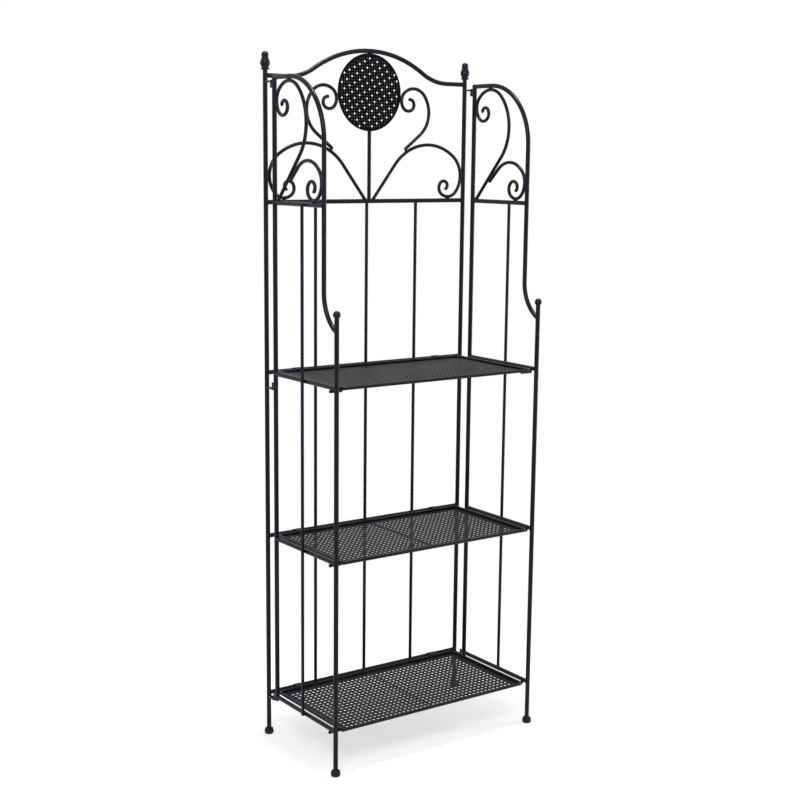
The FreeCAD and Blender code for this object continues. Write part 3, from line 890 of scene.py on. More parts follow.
class BeadTree(GeometryTree):
    """A lump of weld on each point of a mesh."""

    SEED = 7
    SEGMENTS = 8
    RINGS = 5
    CREASE = math.radians(80.0)

    def __init__(self) -> None:
        """Build the tree."""
        super().__init__("weld_beads", (("Unevenness", "NodeSocketFloat"),))
        lump = self.step("GeometryNodeMeshUVSphere", None,
                         {"Segments": self.SEGMENTS, "Rings": self.RINGS, "Radius": 1.0})
        chance = self.step("FunctionNodeRandomValue", {"data_type": "FLOAT"}, {"Seed": self.SEED}, 1)
        turn = self.step("FunctionNodeRandomValue", {"data_type": "FLOAT_VECTOR"},
                         {"Max": (math.tau, math.tau, math.tau), "Seed": self.SEED})
        size = self.girth() * (1 - chance * self.given("Unevenness"))
        lumps = self.step("GeometryNodeInstanceOnPoints", None,
                          {"Points": self.given("Geometry"), "Instance": lump,
                           "Rotation": turn, "Scale": size})
        real = self.step("GeometryNodeRealizeInstances", None, {"Geometry": lumps})
        self.close(self.smooth(real))


class Workshop:
    """The trees and the finishes that every sub-assembly uses, and what is made with them."""

    TURNED_CREASE = math.radians(40.0)
    UNEVENNESS = 0.3

    def __init__(self) -> None:
        """Build the trees and the materials."""
        self.rods = RodTree()
        self.sheets = PiercedTree()
        self.beads = BeadTree()
        self.paints = {finish: finish.value.material() for finish in Finish}

    @staticmethod
    def blank(name: str, points: Sequence[Vector], edges: Sequence[tuple[int, int]],
              girths: Sequence[float]) -> bpy.types.Object:
        """A piece that is only points and edges yet.

        Args:
            name: the piece's name.
            points: its points.
            edges: pairs of points.
            girths: a number for each point, kept as its girth.

        Returns:
            The piece, in the scene.
        """
        mesh = bpy.data.meshes.new(name)
        mesh.from_pydata([tuple(point) for point in points], list(edges), [])
        mesh.attributes.new("girth", "FLOAT", "POINT").data.foreach_set("value", list(girths))
        return placed(name, mesh)

    def rod_piece(self, name: str, lines: Sequence[RodLine], radius: float, finish: Finish,
                  sides: int) -> bpy.types.Object:
        """Rods of one radius as one piece.

        Args:
            name: the piece's name.
            lines: the rods' centre lines.
            radius: the rods' radius.
            finish: their finish.
            sides: how many sides a rod has.

        Returns:
            The piece.
        """
        points: list[Vector] = []
        girths: list[float] = []
        edges: list[tuple[int, int]] = []
        for line in lines:
            first = len(points)
            stretch, shares = line.girths(radius)
            points += stretch
            girths += shares
            edges += [(n, n + 1) for n in range(first, len(points) - 1)]
            if line.closed:
                edges.append((len(points) - 1, first))
        piece = self.blank(name, points, edges, girths)
        self.rods.run(piece, Radius=radius, Sides=sides, Material=self.paints[finish])
        return piece

    def sheet_piece(self, name: str, outline: Sequence[Vector], finish: Finish,
                    **values: Any) -> bpy.types.Object:
        """A pierced sheet as one piece.

        Args:
            name: the piece's name.
            outline: the corners of its outline, flat on the floor.
            finish: its finish.
            values: the inputs of the tree that pierces it.

        Returns:
            The piece.
        """
        count = len(outline)
        edges = [(n, (n + 1) % count) for n in range(count)]
        piece = self.blank(name, outline, edges, [1.0] * count)
        self.sheets.run(piece, Material=self.paints[finish], **values)
        return piece

    def bead_piece(self, name: str, beads: Beads) -> bpy.types.Object:
        """A sub-assembly's beads of weld as one piece.

        Args:
            name: the piece's name.
            beads: their places and sizes.

        Returns:
            The piece.
        """
        piece = self.blank(name, beads.places, [], beads.girths)
        self.beads.run(piece, Unevenness=self.UNEVENNESS, Material=self.paints[Finish.BEAD])
        return piece

    def turned_piece(self, name: str, profiles: Sequence[tuple[Vector, Sequence[Point]]],
                     finish: Finish) -> bpy.types.Object:
        """Turned forms with upright axes, as one piece.

        Args:
            name: the piece's name.
            profiles: for each, the foot of its axis and its (radius, height) rings.
            finish: its finish.

        Returns:
            The piece.
        """
        shape = bmesh.new()
        turns = [math.tau * n / TURNED_SIDES for n in range(TURNED_SIDES)]
        for foot, rings in profiles:
            loops = [[shape.verts.new(foot + Vector((radius * math.cos(turn), radius * math.sin(turn),
                                                     height))) for turn in turns]
                     for radius, height in rings]
            for low, high in zip(loops, loops[1:]):
                for n in range(TURNED_SIDES):
                    shape.faces.new((low[n - 1], low[n], high[n], high[n - 1])).smooth = True
            shape.faces.new(loops[0][::-1])
            shape.faces.new(loops[-1])
        for edge in shape.edges:
            if len(edge.link_faces) == 2 and edge.calc_face_angle() > self.TURNED_CREASE:
                edge.smooth = False
        return self.closed_piece(name, shape, finish)

    def closed_piece(self, name: str, shape: bmesh.types.BMesh, finish: Finish) -> bpy.types.Object:
        """A piece from a closed shape.

        Args:
            name: the piece's name.
            shape: the shape, which is used up.
            finish: its finish.

        Returns:
            The piece, in the scene.
        """
        bmesh.ops.recalc_face_normals(shape, faces=shape.faces[:])
        mesh = poured(name, shape)
        mesh.materials.append(self.paints[finish])
        return placed(name, mesh)


class SubAssembly:
    """What the frames and the shelves share: a body, its slot, its names and its welds."""

    shop: Workshop
    beads: Beads
    body: str
    prefix: str
    slot: Slot

    def box(self, word: str) -> Extent:
        """The box of a node, by its name without the prefix."""
        return Extent.of(self.prefix + word)

    def settle(self, piece: bpy.types.Object, *words: str) -> None:
        """Hang a finished piece on the body.

        Args:
            piece: the piece.
            words: the nodes that it stands for, without the prefix.
        """
        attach(piece, self.body)
        if words:
            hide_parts(*(self.prefix + word for word in words))
        log.info("%s on %s: %d faces", piece.name, self.body, len(piece.data.polygons))

    def bars(self, name: str, lines: Sequence[RodLine], radius: float, sides: int, *words: str,
             finish: Finish = Finish.FRAME) -> None:
        """Rods of one radius as one piece on the body.

        Args:
            name: the piece's name without the prefix.
            lines: the rods' centre lines.
            radius: the rods' radius.
            sides: how many sides a rod has.
            words: the nodes that they stand for, without the prefix.
            finish: their finish.
        """
        self.settle(self.shop.rod_piece(self.prefix + name, lines, radius, finish, sides), *words)

    def straight_rods(self, words: Sequence[str], rounded: tuple[bool, bool] = (False, False),
                      sides: int = ROD_SIDES) -> None:
        """Smooth straight rods in place of nodes, each a piece of its own.

        Args:
            words: the nodes, which give the rods' places and sizes, without the prefix.
            rounded: whether the low and the high end are rounded over.
            sides: how many sides a rod has.
        """
        for word in words:
            box = self.box(word)
            axis = max(range(3), key=lambda n: box.sides[n])
            low, high = box.centre, box.centre
            low[axis], high[axis] = box.low[axis], box.high[axis]
            self.bars(word + "_rod", [RodLine([low, high], False, *rounded)], box.radius, sides, word)

    def turned(self, name: str, word: str, profiles: Sequence[tuple[Vector, Sequence[Point]]],
               finish: Finish) -> None:
        """Turned forms as one piece on the body.

        Args:
            name: the piece's name without the prefix.
            word: the node that they stand for, without the prefix.
            profiles: for each, the foot of its axis and its (radius, height) rings.
            finish: their finish.
        """
        self.settle(self.shop.turned_piece(self.prefix + name, profiles, finish), word)

    def weld(self) -> None:
        """All the beads of weld as one piece on the body."""
        self.settle(self.shop.bead_piece(self.body + "_welds", self.beads))

    def dress(self, word: str, finish: Finish = Finish.FRAME) -> None:
        """Give a node that stays in view its finish.

        Args:
            word: the node, without the prefix.
            finish: its finish.
        """
        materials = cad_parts[self.prefix + word].data.materials
        materials.clear()
        materials.append(self.shop.paints[finish])
        log.info("%s stays, in %s", self.prefix + word, finish.value.name)


class Turning:
    """Rounded stretches of a turned profile, as the (radius, height) rings after the first."""

    @staticmethod
    def _between(low: Point, high: Point, wide: float, tall: float) -> Point:
        """A ring at given shares of the way between two radii and two heights."""
        return low[0] + (high[0] - low[0]) * wide, low[1] + (high[1] - low[1]) * tall

    @classmethod
    def swell(cls, low: Point, high: Point, bulge: float, steps: int) -> list[Point]:
        """A stretch whose middle stands out.

        Args:
            low: the radius and height where it begins.
            high: the radius and height where it ends.
            bulge: how far its middle stands out from the straight.
            steps: rings after the first.

        Returns:
            The rings.
        """
        rings = []
        for n in range(1, steps + 1):
            radius, height = cls._between(low, high, n / steps, n / steps)
            rings.append((radius + bulge * math.sin(math.pi * n / steps), height))
        return rings

    @classmethod
    def quarter_wave(cls, low: Point, high: Point, steps: int) -> list[Point]:
        """A stretch that is upright at its wider end.

        Args:
            low: the radius and height where it begins.
            high: the radius and height where it ends.
            steps: rings after the first.

        Returns:
            The rings.
        """
        rings = []
        for n in range(1, steps + 1):
            turn = math.pi / 2 * n / steps
            wave = math.sin(turn) if high[0] > low[0] else 1 - math.cos(turn)
            rings.append(cls._between(low, high, wave, n / steps))
        return rings

    @staticmethod
    def dome(low: Point, top: float, steps: int) -> list[Point]:
        """A round top that ends in a small flat.

        Args:
            low: the radius and height where it begins.
            top: the height where it ends.
            steps: rings after the first.

        Returns:
            The rings.
        """
        turns = [CROWN * n / steps for n in range(1, steps + 1)]
        rise = (top - low[1]) / math.sin(CROWN)
        return [(low[0] * math.cos(turn), low[1] + rise * math.sin(turn)) for turn in turns]


@dataclass(frozen=True)
class FootCap:
    """A bun foot, as radii and heights, in the space of a foot's solid."""

    tread: Point = (0.0092, 0.0)
    base: Point = (0.0104, 0.00048)
    widest: Point = (0.0118, 0.0058)
    shoulder: Point = (0.0108, 0.0118)
    top: Point = (0.0068, 0.016)
    side_bulge: float = 0.0004
    shoulder_bulge: float = 0.0003
    top_bulge: float = 0.0012

    def rings(self) -> list[Point]:
        """The foot's rings from the floor up."""
        return [self.tread, self.base,
                *Turning.swell(self.base, self.widest, self.side_bulge, steps=4),
                *Turning.swell(self.widest, self.shoulder, self.shoulder_bulge, steps=5),
                *Turning.swell(self.shoulder, self.top, self.top_bulge, steps=7)]


@dataclass(frozen=True)
class Finial:
    """A post's turned finial, as radii and heights: a collar, a waist, a bulb, a neck and a ball."""

    collar: float = 0.0095
    collar_top: float = 0.0045
    collar_bulge: float = 0.0010
    waist_foot: Point = (0.0085, 0.0051)
    waist_top: Point = (0.0085, 0.0065)
    bulb: Point = (0.0119, 0.0150)
    neck: Point = (0.0080, 0.0280)
    ball: Point = (0.0087, 0.0355)
    height: float = 0.04275

    def rings(self) -> list[Point]:
        """The finial's rings from the top of the post up."""
        foot, rim = (self.collar, 0.0), (self.collar, self.collar_top)
        return [foot, *Turning.swell(foot, rim, self.collar_bulge, steps=6),
                self.waist_foot, self.waist_top,
                *Turning.quarter_wave(self.waist_top, self.bulb, steps=6),
                *Turning.quarter_wave(self.bulb, self.neck, steps=8),
                *Turning.quarter_wave(self.neck, self.ball, steps=6),
                *Turning.dome(self.ball, self.height, steps=9)]


@dataclass
class BackFrame(SubAssembly):
    """The back frame: posts, rails, upright rods, and the crest with its disc and scrolls."""

    shop: Workshop
    arch_shoulder: float = 0.060
    hollow_radius: float = 0.141
    lower_start: float = 0.009
    lower_lean: float = 52.3
    lower_ratio: float = 0.458
    lower_bead: Point = (0.004, 0.002)
    upper_lean: float = 38.0
    upper_ratio: float = 0.57
    upper_foot: float = 21.0
    upper_turn: float = 518.0
    upper_contact: float = 8.0
    upper_bead: float = 0.0015
    disc_sheet: float = 0.0014
    disc_hem: float = 0.00125
    disc_grid: float = 0.0075
    disc_hole: float = 0.0053
    disc_small_hole: float = 0.0016
    disc_stride: int = 5
    disc_margin: float = 0.0045
    disc_steps: int = 96
    stem_bead: float = 0.0026
    stem_bead_steps: int = 3

    body = "back_frame"
    prefix = ""
    slot = Slot.FRAME

    def __post_init__(self) -> None:
        """Take the places and sizes of the frame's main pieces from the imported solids."""
        self.post = self.box("right_rear_post")
        self.rail = self.box("crest_rail")
        self.arch = self.box("arched_top_rail")
        self.disc = self.box("crest_disc")
        self.bar = self.box("lower_scrolls").sides.y / 2
        self.half = self.post.centre.x
        self.rear = self.post.centre.y
        self.crest = self.rail.centre.z
        self.tube = self.arch.sides.y / 2
        self.disc_radius = self.disc.sides.x / 2
        self.beads = Beads()
        self.lower = self._lower_scroll()
        self.upper_seat, foot = foot_beside(self.lower.point(self.upper_foot),
                                            self.lower_lean - self.upper_foot, self.bar)
        self.upper = Scroll(foot, self.upper_lean, self.upper_ratio, 1, self.upper_turn)
        heading = DOWN - self.upper_contact
        across, height = self._on_disc(self.disc_radius + TOUCH_GAP + self.bar)
        self.upper.touch((0, heading, across), (1, heading, height))

    def _lower_scroll(self) -> Scroll:
        """Shape a lower scroll, which touches the post and the crest rail.

        Returns:
            The scroll.
        """
        on_rail = self.crest + self.rail.radius + TOUCH_GAP + self.bar
        beside_post = self.half - self.post.radius - TOUCH_GAP - self.bar
        scroll = Scroll((self.lower_start, self.crest), self.lower_lean, self.lower_ratio, -1)
        return scroll.touch((0, DOWN, beside_post), (1, AGAINST, on_rail))

    def _on_disc(self, radius: float) -> Point:
        """A place on the way from the disc's middle to where an upper scroll touches it."""
        contact = math.radians(self.upper_contact)
        return radius * math.cos(contact), self.disc.centre.z - radius * math.sin(contact)

    def plane(self, hand: Hand) -> Plane:
        """One half of the frame's plane, measured outwards from the middle."""
        return lambda u, w: Vector((hand.value * u, self.rear, w))

    def build(self) -> None:
        """Make and dress every piece of the frame."""
        self.straight_rods(("left_rear_post", "right_rear_post", "bottom_back_rail", "middle_back_rail",
                            "top_back_rail", "crest_rail", "crest_stem"))
        self.straight_rods(("left_back_rod", "middle_back_rod", "right_back_rod"), (True, True),
                           THIN_ROD_SIDES)
        self._arch()
        self._disc()
        for word, scroll in (("lower", self.lower), ("upper", self.upper)):
            lines = [RodLine(scroll.route(self.plane(hand)).points, round_end=True) for hand in Hand]
            self.bars(word + "_scroll_bars", lines, self.bar, SCROLL_SIDES, word + "_scrolls")
        for name, word, rings, finish in (("rear_bun_feet", "rear_feet", FootCap().rings(), Finish.CAP),
                                          ("turned_finials", "finials", Finial().rings(), Finish.FRAME)):
            foot = self.box(word).low.z
            self.turned(name, word, [(self.plane(hand)(self.half, foot), rings) for hand in Hand], finish)
        self._welds()
        self.dress("hinge_eyes")

    def _arch(self) -> None:
        """The arched top rail: level shoulders, hollows and a crown."""
        run = self.half - self.arch_shoulder
        rise = self.arch.sides.z - 2 * self.tube
        crown = (run ** 2 + rise ** 2) / (2 * rise) - self.hollow_radius
        swing = 2 * math.degrees(math.atan2(rise, run))
        route = Route((self.half, self.arch.low.z + self.tube), AGAINST, self.plane(Hand.LEFT))
        route.line(self.arch_shoulder).arc(self.hollow_radius, -swing)
        route.arc(crown, 2 * swing).arc(self.hollow_radius, -swing).line(self.arch_shoulder)
        self.bars("arched_top_tube", [RodLine(route.points)], self.tube, ROD_SIDES, "arched_top_rail")

    def _disc(self) -> None:
        """The pierced disc with a rolled hem."""
        hem_radius = self.disc_radius - self.disc_hem
        turns = [math.tau * n / self.disc_steps for n in range(self.disc_steps)]
        edge = [Vector((hem_radius * math.cos(turn), hem_radius * math.sin(turn), 0.0)) for turn in turns]
        count = 2 * math.ceil(self.disc_radius / self.disc_grid) + 1
        piece = self.shop.sheet_piece(
            "crest_pierced_disc", edge, Finish.DISC, Columns=count, Rows=count,
            Column_Pitch=self.disc_grid, Row_Pitch=self.disc_grid,
            Hole=self.disc_hole, Small_Hole=self.disc_small_hole, Stride=self.disc_stride,
            Reach=self.disc_radius - self.disc_margin, Grid_Centre=(0.0, 0.0, 0.0),
            Thickness=self.disc_sheet, Tilt=(math.pi / 2, 0.0, 0.0),
            Place=(0.0, self.rear + self.disc_sheet / 2, self.disc.centre.z))
        self.settle(piece, "crest_disc")
        hem = [Vector((point.x, self.rear, self.disc.centre.z + point.y)) for point in edge]
        self.bars("crest_disc_hem", [RodLine(hem, closed=True)], self.disc_hem, HEM_SIDES,
                  finish=Finish.DISC)

    def _welds(self) -> None:
        """Beads where the frame's rods meet."""
        heights = [self.box(level.value + "_back_rail").centre.z for level in Level] + [self.crest]
        for hand in Hand:
            self._half_welds(hand, heights)
        self.beads.tack(Vector((0, self.rear, self.disc.high.z)), ACROSS, BACK)
        self.beads.tack(Vector((0, self.rear, self.disc.low.z)), ACROSS, BACK, self.stem_bead,
                        self.stem_bead_steps)
        for word in ("left", "middle", "right"):
            rod = self.box(word + "_back_rod")
            for height in heights:
                self.beads.crossing(Vector((rod.centre.x, rod.low.y, height)), UP, rod.radius)
        self.weld()

    def _half_welds(self, hand: Hand, heights: Sequence[float]) -> None:
        """Beads on one post and on the scrolls beside it.

        Args:
            hand: which half of the frame.
            heights: where the straight rails meet the post.
        """
        inward = Vector((-hand.value, 0, 0))
        plane = self.plane(hand)
        for height in heights:
            self.beads.saddle(plane(self.half, height), inward, self.rail.radius, self.post.radius)
        self.beads.saddle(plane(self.half, self.arch.low.z + self.tube), inward, self.tube, self.post.radius)
        across, height = self.lower.point(self.lower.turn_to(DOWN))
        self.beads.tack(plane(across + self.bar, height), UP, BACK)
        across, height = self.lower.point(self.lower.turn_to(AGAINST))
        self.beads.tack(plane(across, height - self.bar), inward, BACK)
        beside, above = self.lower_bead
        self.beads.tack(plane(self.lower_start + beside, self.crest + self.rail.radius + above), inward, BACK)
        self.beads.tack(plane(*self._on_disc(self.disc_radius)), UP, BACK, self.upper_bead)
        self.beads.tack(plane(*self.upper_seat), inward, BACK, FOOT_BEAD)


@dataclass
class SideFrame(SubAssembly):
    """A side frame: upright, arch tube, front leg, rails, scrolls and rest lugs."""

    shop: Workshop
    hand: Hand
    arch_setback: float = 0.0545
    arch_share: float = 0.685
    arch_bead_share: float = 0.96
    joint_drop: float = 0.043
    ball: float = 0.009
    ball_steps: int = 18
    sweep_radius: float = 0.096
    sweep_angle: float = 60.0
    large_start: float = 0.011
    large_aim_drop: float = 0.064
    large_ratio: float = 0.537
    large_bead: float = 0.001
    small_foot: float = 0.076
    small_spread: float = 5.0
    small_turn: float = 548.0
    small_ratio: float = 0.605
    lug_radius: float = 0.004

    slot = Slot.FRAME

    def __post_init__(self) -> None:
        """Take the places and sizes of the frame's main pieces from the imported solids."""
        self.body = self.hand.word + "_side"
        self.prefix = self.hand.word + "_"
        self.upright = self.box("upright")
        self.leg = self.box("front_leg")
        self.arch = self.box("arch_tube")
        self.rail = self.box("side_crest_rail")
        self.side_rails = [self.box(level.value + "_side_rail") for level in Level]
        self.side = self.upright.centre.x
        self.tube = self.arch.sides.x / 2
        self.bar = self.box("side_scrolls").sides.x / 2
        self.crest = self.rail.centre.z
        self.arch_z = self.arch.high.z - self.tube
        self.front = self.leg.centre.y + self.arch_setback
        self.rear = self.upright.centre.y
        self.ball_top = self.box("leg_caps").high.z
        self.beads = Beads()
        self.large = self._large_scroll()
        across, height = (at + self.small_foot * way for at, way in zip(self.large.start, self.large.ahead))
        self.small_seat, foot = foot_beside((across, height), self.large.lean, self.bar)
        self.small = self._small_scroll(foot)

    def _large_scroll(self) -> Scroll:
        """Shape the large scroll, which touches the arch tube and the upright.

        Returns:
            The scroll.
        """
        start = (self.rear - self.large_start, self.crest)
        lean = math.atan2(self.arch_z - self.large_aim_drop - self.crest, self.front - start[0])
        under_arch = self.arch_z - self.tube - TOUCH_GAP - self.bar
        before_upright = self.rear - self.upright.radius - TOUCH_GAP - self.bar
        scroll = Scroll(start, math.degrees(lean), self.large_ratio, -1)
        return scroll.touch((1, ALONG, under_arch), (0, DOWN, before_upright))

    def _small_scroll(self, foot: Point) -> Scroll:
        """Shape the small scroll, which touches the arch tube and the rail.

        Args:
            foot: where its line begins, beside the large scroll.

        Returns:
            The scroll.
        """
        behind_tube = self.front + self.tube + TOUCH_GAP + self.bar
        on_rail = self.crest + self.rail.radius + TOUCH_GAP + self.bar
        lean = self.large.lean + self.small_spread
        scroll = Scroll(foot, lean, self.small_ratio, 1, self.small_turn)
        return scroll.touch((0, DOWN, behind_tube), (1, ALONG, on_rail))

    def plane(self, u: float, w: float) -> Vector:
        """A point of the frame's plane, measured to the back and up."""
        return Vector((self.side, u, w))

    def build(self) -> None:
        """Make and dress every piece of the frame."""
        self.straight_rods(("upright",), (True, False))
        self.straight_rods(("front_leg", "side_crest_rail", "bottom_side_rail", "middle_side_rail",
                            "top_side_rail"))
        self.straight_rods(("mid_rod",), (True, True), THIN_ROD_SIDES)
        self._arch()
        lines = [RodLine(scroll.route(self.plane).points, round_end=True)
                 for scroll in (self.large, self.small)]
        self.bars("side_scroll_bars", lines, self.bar, SCROLL_SIDES, "side_scrolls")
        self._lugs()
        self._caps()
        self._welds()
        self.dress("hinge_pins")

    def _arch(self) -> None:
        """The tube that runs over the frame, down, and out to the front leg."""
        sweep = math.radians(self.sweep_angle)
        last = (self.arch_setback - self.sweep_radius * (1 - math.cos(sweep))) / math.sin(sweep)
        drop = self.sweep_radius * math.sin(sweep) + last * math.cos(sweep)
        joint = self.ball_top - math.sqrt(self.ball ** 2 - self.leg.radius ** 2) - self.joint_drop
        bend = self.arch_share * (self.rear - self.front)
        route = Route((self.arch.high.y, self.arch_z), AGAINST, self.plane)
        route.line(self.arch.high.y - self.front - bend).arc(bend, QUARTER)
        route.line(self.arch_z - bend - drop - joint)
        route.arc(self.sweep_radius, -self.sweep_angle).line(last)
        self.bars("arch_bent_tube", [RodLine(route.points, round_start=True)], self.tube, ROD_SIDES,
                  "arch_tube")

    def _lugs(self) -> None:
        """The stubs that the shelves rest on."""
        box = self.box("rest_lugs")
        lines = []
        for rail in self.side_rails:
            height = rail.low.z - self.lug_radius
            ends = [Vector((x, box.centre.y, height)) for x in (box.low.x, box.high.x)]
            lines.append(RodLine(ends, round_start=True, round_end=True))
            self.beads.crossing(self.plane(box.centre.y, rail.low.z), ACROSS, self.lug_radius)
        self.bars("rest_stubs", lines, self.lug_radius, RIM_SIDES, "rest_lugs")

    def _caps(self) -> None:
        """The front foot and the ball on the leg's top."""
        axis = self.plane(self.leg.centre.y, 0.0)
        seat = math.acos(self.leg.radius / self.ball)
        middle = self.ball_top - self.ball * math.sin(CROWN)
        turns = [(seat + CROWN) * n / self.ball_steps - seat for n in range(self.ball_steps + 1)]
        rings = [(self.ball * math.cos(turn), middle + self.ball * math.sin(turn)) for turn in turns]
        self.turned("leg_foot_and_ball", "leg_caps", [(axis, FootCap().rings()), (axis, rings)], Finish.CAP)

    def _welds(self) -> None:
        """Beads where the frame's rods meet."""
        heights = [rail.centre.z for rail in self.side_rails]
        for height in heights:
            self._saddles(self.leg.centre.y, self.leg.radius, height)
        self._saddles(self.front, self.tube, self.crest)
        self.beads.saddle(self.plane(self.rear, self.arch_z), -UP, self.tube * self.arch_bead_share,
                          self.tube, BACK)
        for scroll, heading, move in ((self.large, ALONG, (0, 1)), (self.large, DOWN, (1, 0)),
                                      (self.small, DOWN, (-1, 0)), (self.small, ALONG, (0, -1))):
            place = scroll.point(scroll.turn_to(heading))
            touch = self.plane(place[0] + move[0] * self.bar, place[1] + move[1] * self.bar)
            self.beads.tack(touch, BACK if move[1] else UP, ACROSS)
        self.beads.tack(self.plane(*self.small_seat), (UP - BACK).normalized(), ACROSS, FOOT_BEAD)
        on_rail = self.crest + self.rail.radius + self.large_bead
        self.beads.tack(self.plane(self.large.start[0], on_rail), BACK, ACROSS)
        rod = self.box("mid_rod")
        inner = rod.centre.x - self.hand.value * rod.radius
        for height in heights + [self.crest]:
            self.beads.crossing(Vector((inner, rod.centre.y, height)), UP, rod.radius)
        self.weld()

    def _saddles(self, front: float, front_radius: float, height: float) -> None:
        """Beads at both ends of a side rail.

        Args:
            front: where the axis of what carries its front end stands.
            front_radius: the radius of that.
            height: the rail's height.
        """
        rod = self.rail.radius
        self.beads.saddle(self.plane(front, height), BACK, rod, front_radius)
        self.beads.saddle(self.plane(self.rear, height), -BACK, rod, self.upright.radius)


@dataclass
class Shelf(SubAssembly):
    """A shelf: a bent rim, a pierced sheet under it, a rib, and straps round the back rail."""

    shop: Workshop
    level: Level
    corner: float = 0.009
    hole: float = 0.0069
    column_pitch: float = 0.0130
    row_pitch: float = 0.0148
    side_margin: float = 0.0225
    back_margin: float = 0.0225
    front_margin: float = 0.0080
    hole_reach: float = 1.0
    strap_width: float = 0.020
    strap_thickness: float = 0.0010
    strap_clearance: float = 0.0001
    strap_tail: float = 0.004
    strap_turn: float = 320.0
    strap_steps: int = 40
    rim_solid_sides: int = 8
    rib_width: float = 0.0050
    rib_inset: float = 0.006
    rib_slope: float = 0.012
    rib_thickness: float = 0.002
    bead: float = 0.0011
    bead_overlap: float = 0.0009
    bead_rise: float = 0.0007
    bead_pitch: float = 0.0017
    bead_steps: int = 3
    bead_spacing: float = 0.070

    slot = Slot.SHELF

    def __post_init__(self) -> None:
        """Take the places and sizes of the shelf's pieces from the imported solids."""
        self.body = self.level.value + "_shelf"
        self.prefix = self.level.value + "_"
        self.rim = self.box("shelf_rim")
        self.sheet = self.box("shelf_sheet")
        self.straps = self.box("hinge_straps")
        self.rail = self.box("back_rail")
        self.rim_radius = self.rim.sides.z / 2
        self.beads = Beads(self.bead)

    def build(self) -> None:
        """Make and dress every piece of the shelf."""
        self._rim()
        self._sheet()
        self._rib()
        self._straps()
        self._welds()

    def _rim(self) -> None:
        """The rim rod, bent round at its corners."""
        height = self.rim.centre.z
        width, depth = (self.rim.sides[axis] - 2 * self.rim_radius for axis in (0, 1))
        front = self.rim.low.y + self.rim_radius
        route = Route((0.0, front), ALONG, lambda x, y: Vector((x, y, height)))
        route.line(width / 2 - self.corner)
        for length in (depth, width, depth):
            route.arc(self.corner, QUARTER).line(length - 2 * self.corner)
        route.arc(self.corner, QUARTER)
        self.bars("shelf_rim_rod", [RodLine(route.points, closed=True)], self.rim_radius, RIM_SIDES,
                  "shelf_rim")

    def _sheet(self) -> None:
        """The pierced sheet."""
        low, high = self.sheet.low, self.sheet.high
        corners = ((low.x, low.y), (high.x, low.y), (high.x, high.y), (low.x, high.y))
        room_x = self.sheet.sides.x - 2 * self.side_margin - self.hole
        room_y = self.sheet.sides.y - self.back_margin - self.front_margin - self.hole
        columns = 2 * int((room_x / self.column_pitch + 1) // 2)
        rows = int(room_y // self.row_pitch) + 1
        last = high.y - self.back_margin - self.hole / 2
        middle = last - (rows - 1) * self.row_pitch / 2
        piece = self.shop.sheet_piece(
            self.prefix + "shelf_pierced_sheet", [Vector((x, y, 0.0)) for x, y in corners], Finish.SHELF,
            Columns=columns, Rows=rows, Column_Pitch=self.column_pitch, Row_Pitch=self.row_pitch,
            Hole=self.hole, Small_Hole=0.0, Stride=1, Reach=self.hole_reach,
            Grid_Centre=(0.0, middle, 0.0), Thickness=self.sheet.sides.z,
            Tilt=(0.0, 0.0, 0.0), Place=(0.0, 0.0, low.z))
        self.settle(piece, "shelf_sheet")

    def _rib(self) -> None:
        """The narrow bar under the sheet, between two columns of holes, with its ends sloped."""
        box = self.box("shelf_rib")
        ends = (box.low.y + self.rib_inset, box.high.y - self.rib_inset)
        slopes = (ends[0] + self.rib_slope, ends[1] - self.rib_slope)
        under = box.high.z - self.rib_thickness
        outline = ((ends[0], box.high.z), (slopes[0], under), (slopes[1], under), (ends[1], box.high.z))
        shape = bmesh.new()
        near, far = ([shape.verts.new((box.centre.x + side * self.rib_width / 2, y, z)) for y, z in outline]
                     for side in (-1, 1))
        for n in range(len(outline)):
            shape.faces.new((near[n - 1], near[n], far[n], far[n - 1]))
        shape.faces.new(near)
        shape.faces.new(far)
        self.settle(self.shop.closed_piece(self.prefix + "shelf_flat_rib", shape, Finish.SHELF), "shelf_rib")

    def _strap_outline(self) -> tuple[list[Vector], list[Vector]]:
        """The strap's two edges, seen from the side.

        Returns:
            The outer and the inner edge, from the tail's end round the rail, in (Y, Z).
        """
        axis = Vector((self.rail.centre.y, self.rail.centre.z))
        inner = self.rail.radius + self.strap_clearance
        outer = inner + self.strap_thickness
        rim = Vector((self.rim.high.y - self.rim_radius, self.rim.centre.z)) - axis
        seat = self.rim_radius / math.cos(math.pi / self.rim_solid_sides)
        lean = math.atan2(rim.y, rim.x) - math.acos((inner - seat) / rim.length)
        reach = math.sqrt(rim.length ** 2 - (inner - seat) ** 2) + self.strap_tail
        off = Vector((math.cos(lean), math.sin(lean)))
        along = Vector((-math.sin(lean), math.cos(lean)))
        turns = [math.radians(-self.strap_turn * n / self.strap_steps) for n in range(self.strap_steps + 1)]
        edges = []
        for radius in (outer, inner):
            ring = [axis + off * (radius * math.cos(turn)) + along * (radius * math.sin(turn))
                    for turn in turns]
            edges.append([axis + off * radius + along * reach] + ring)
        return edges[0], edges[1]

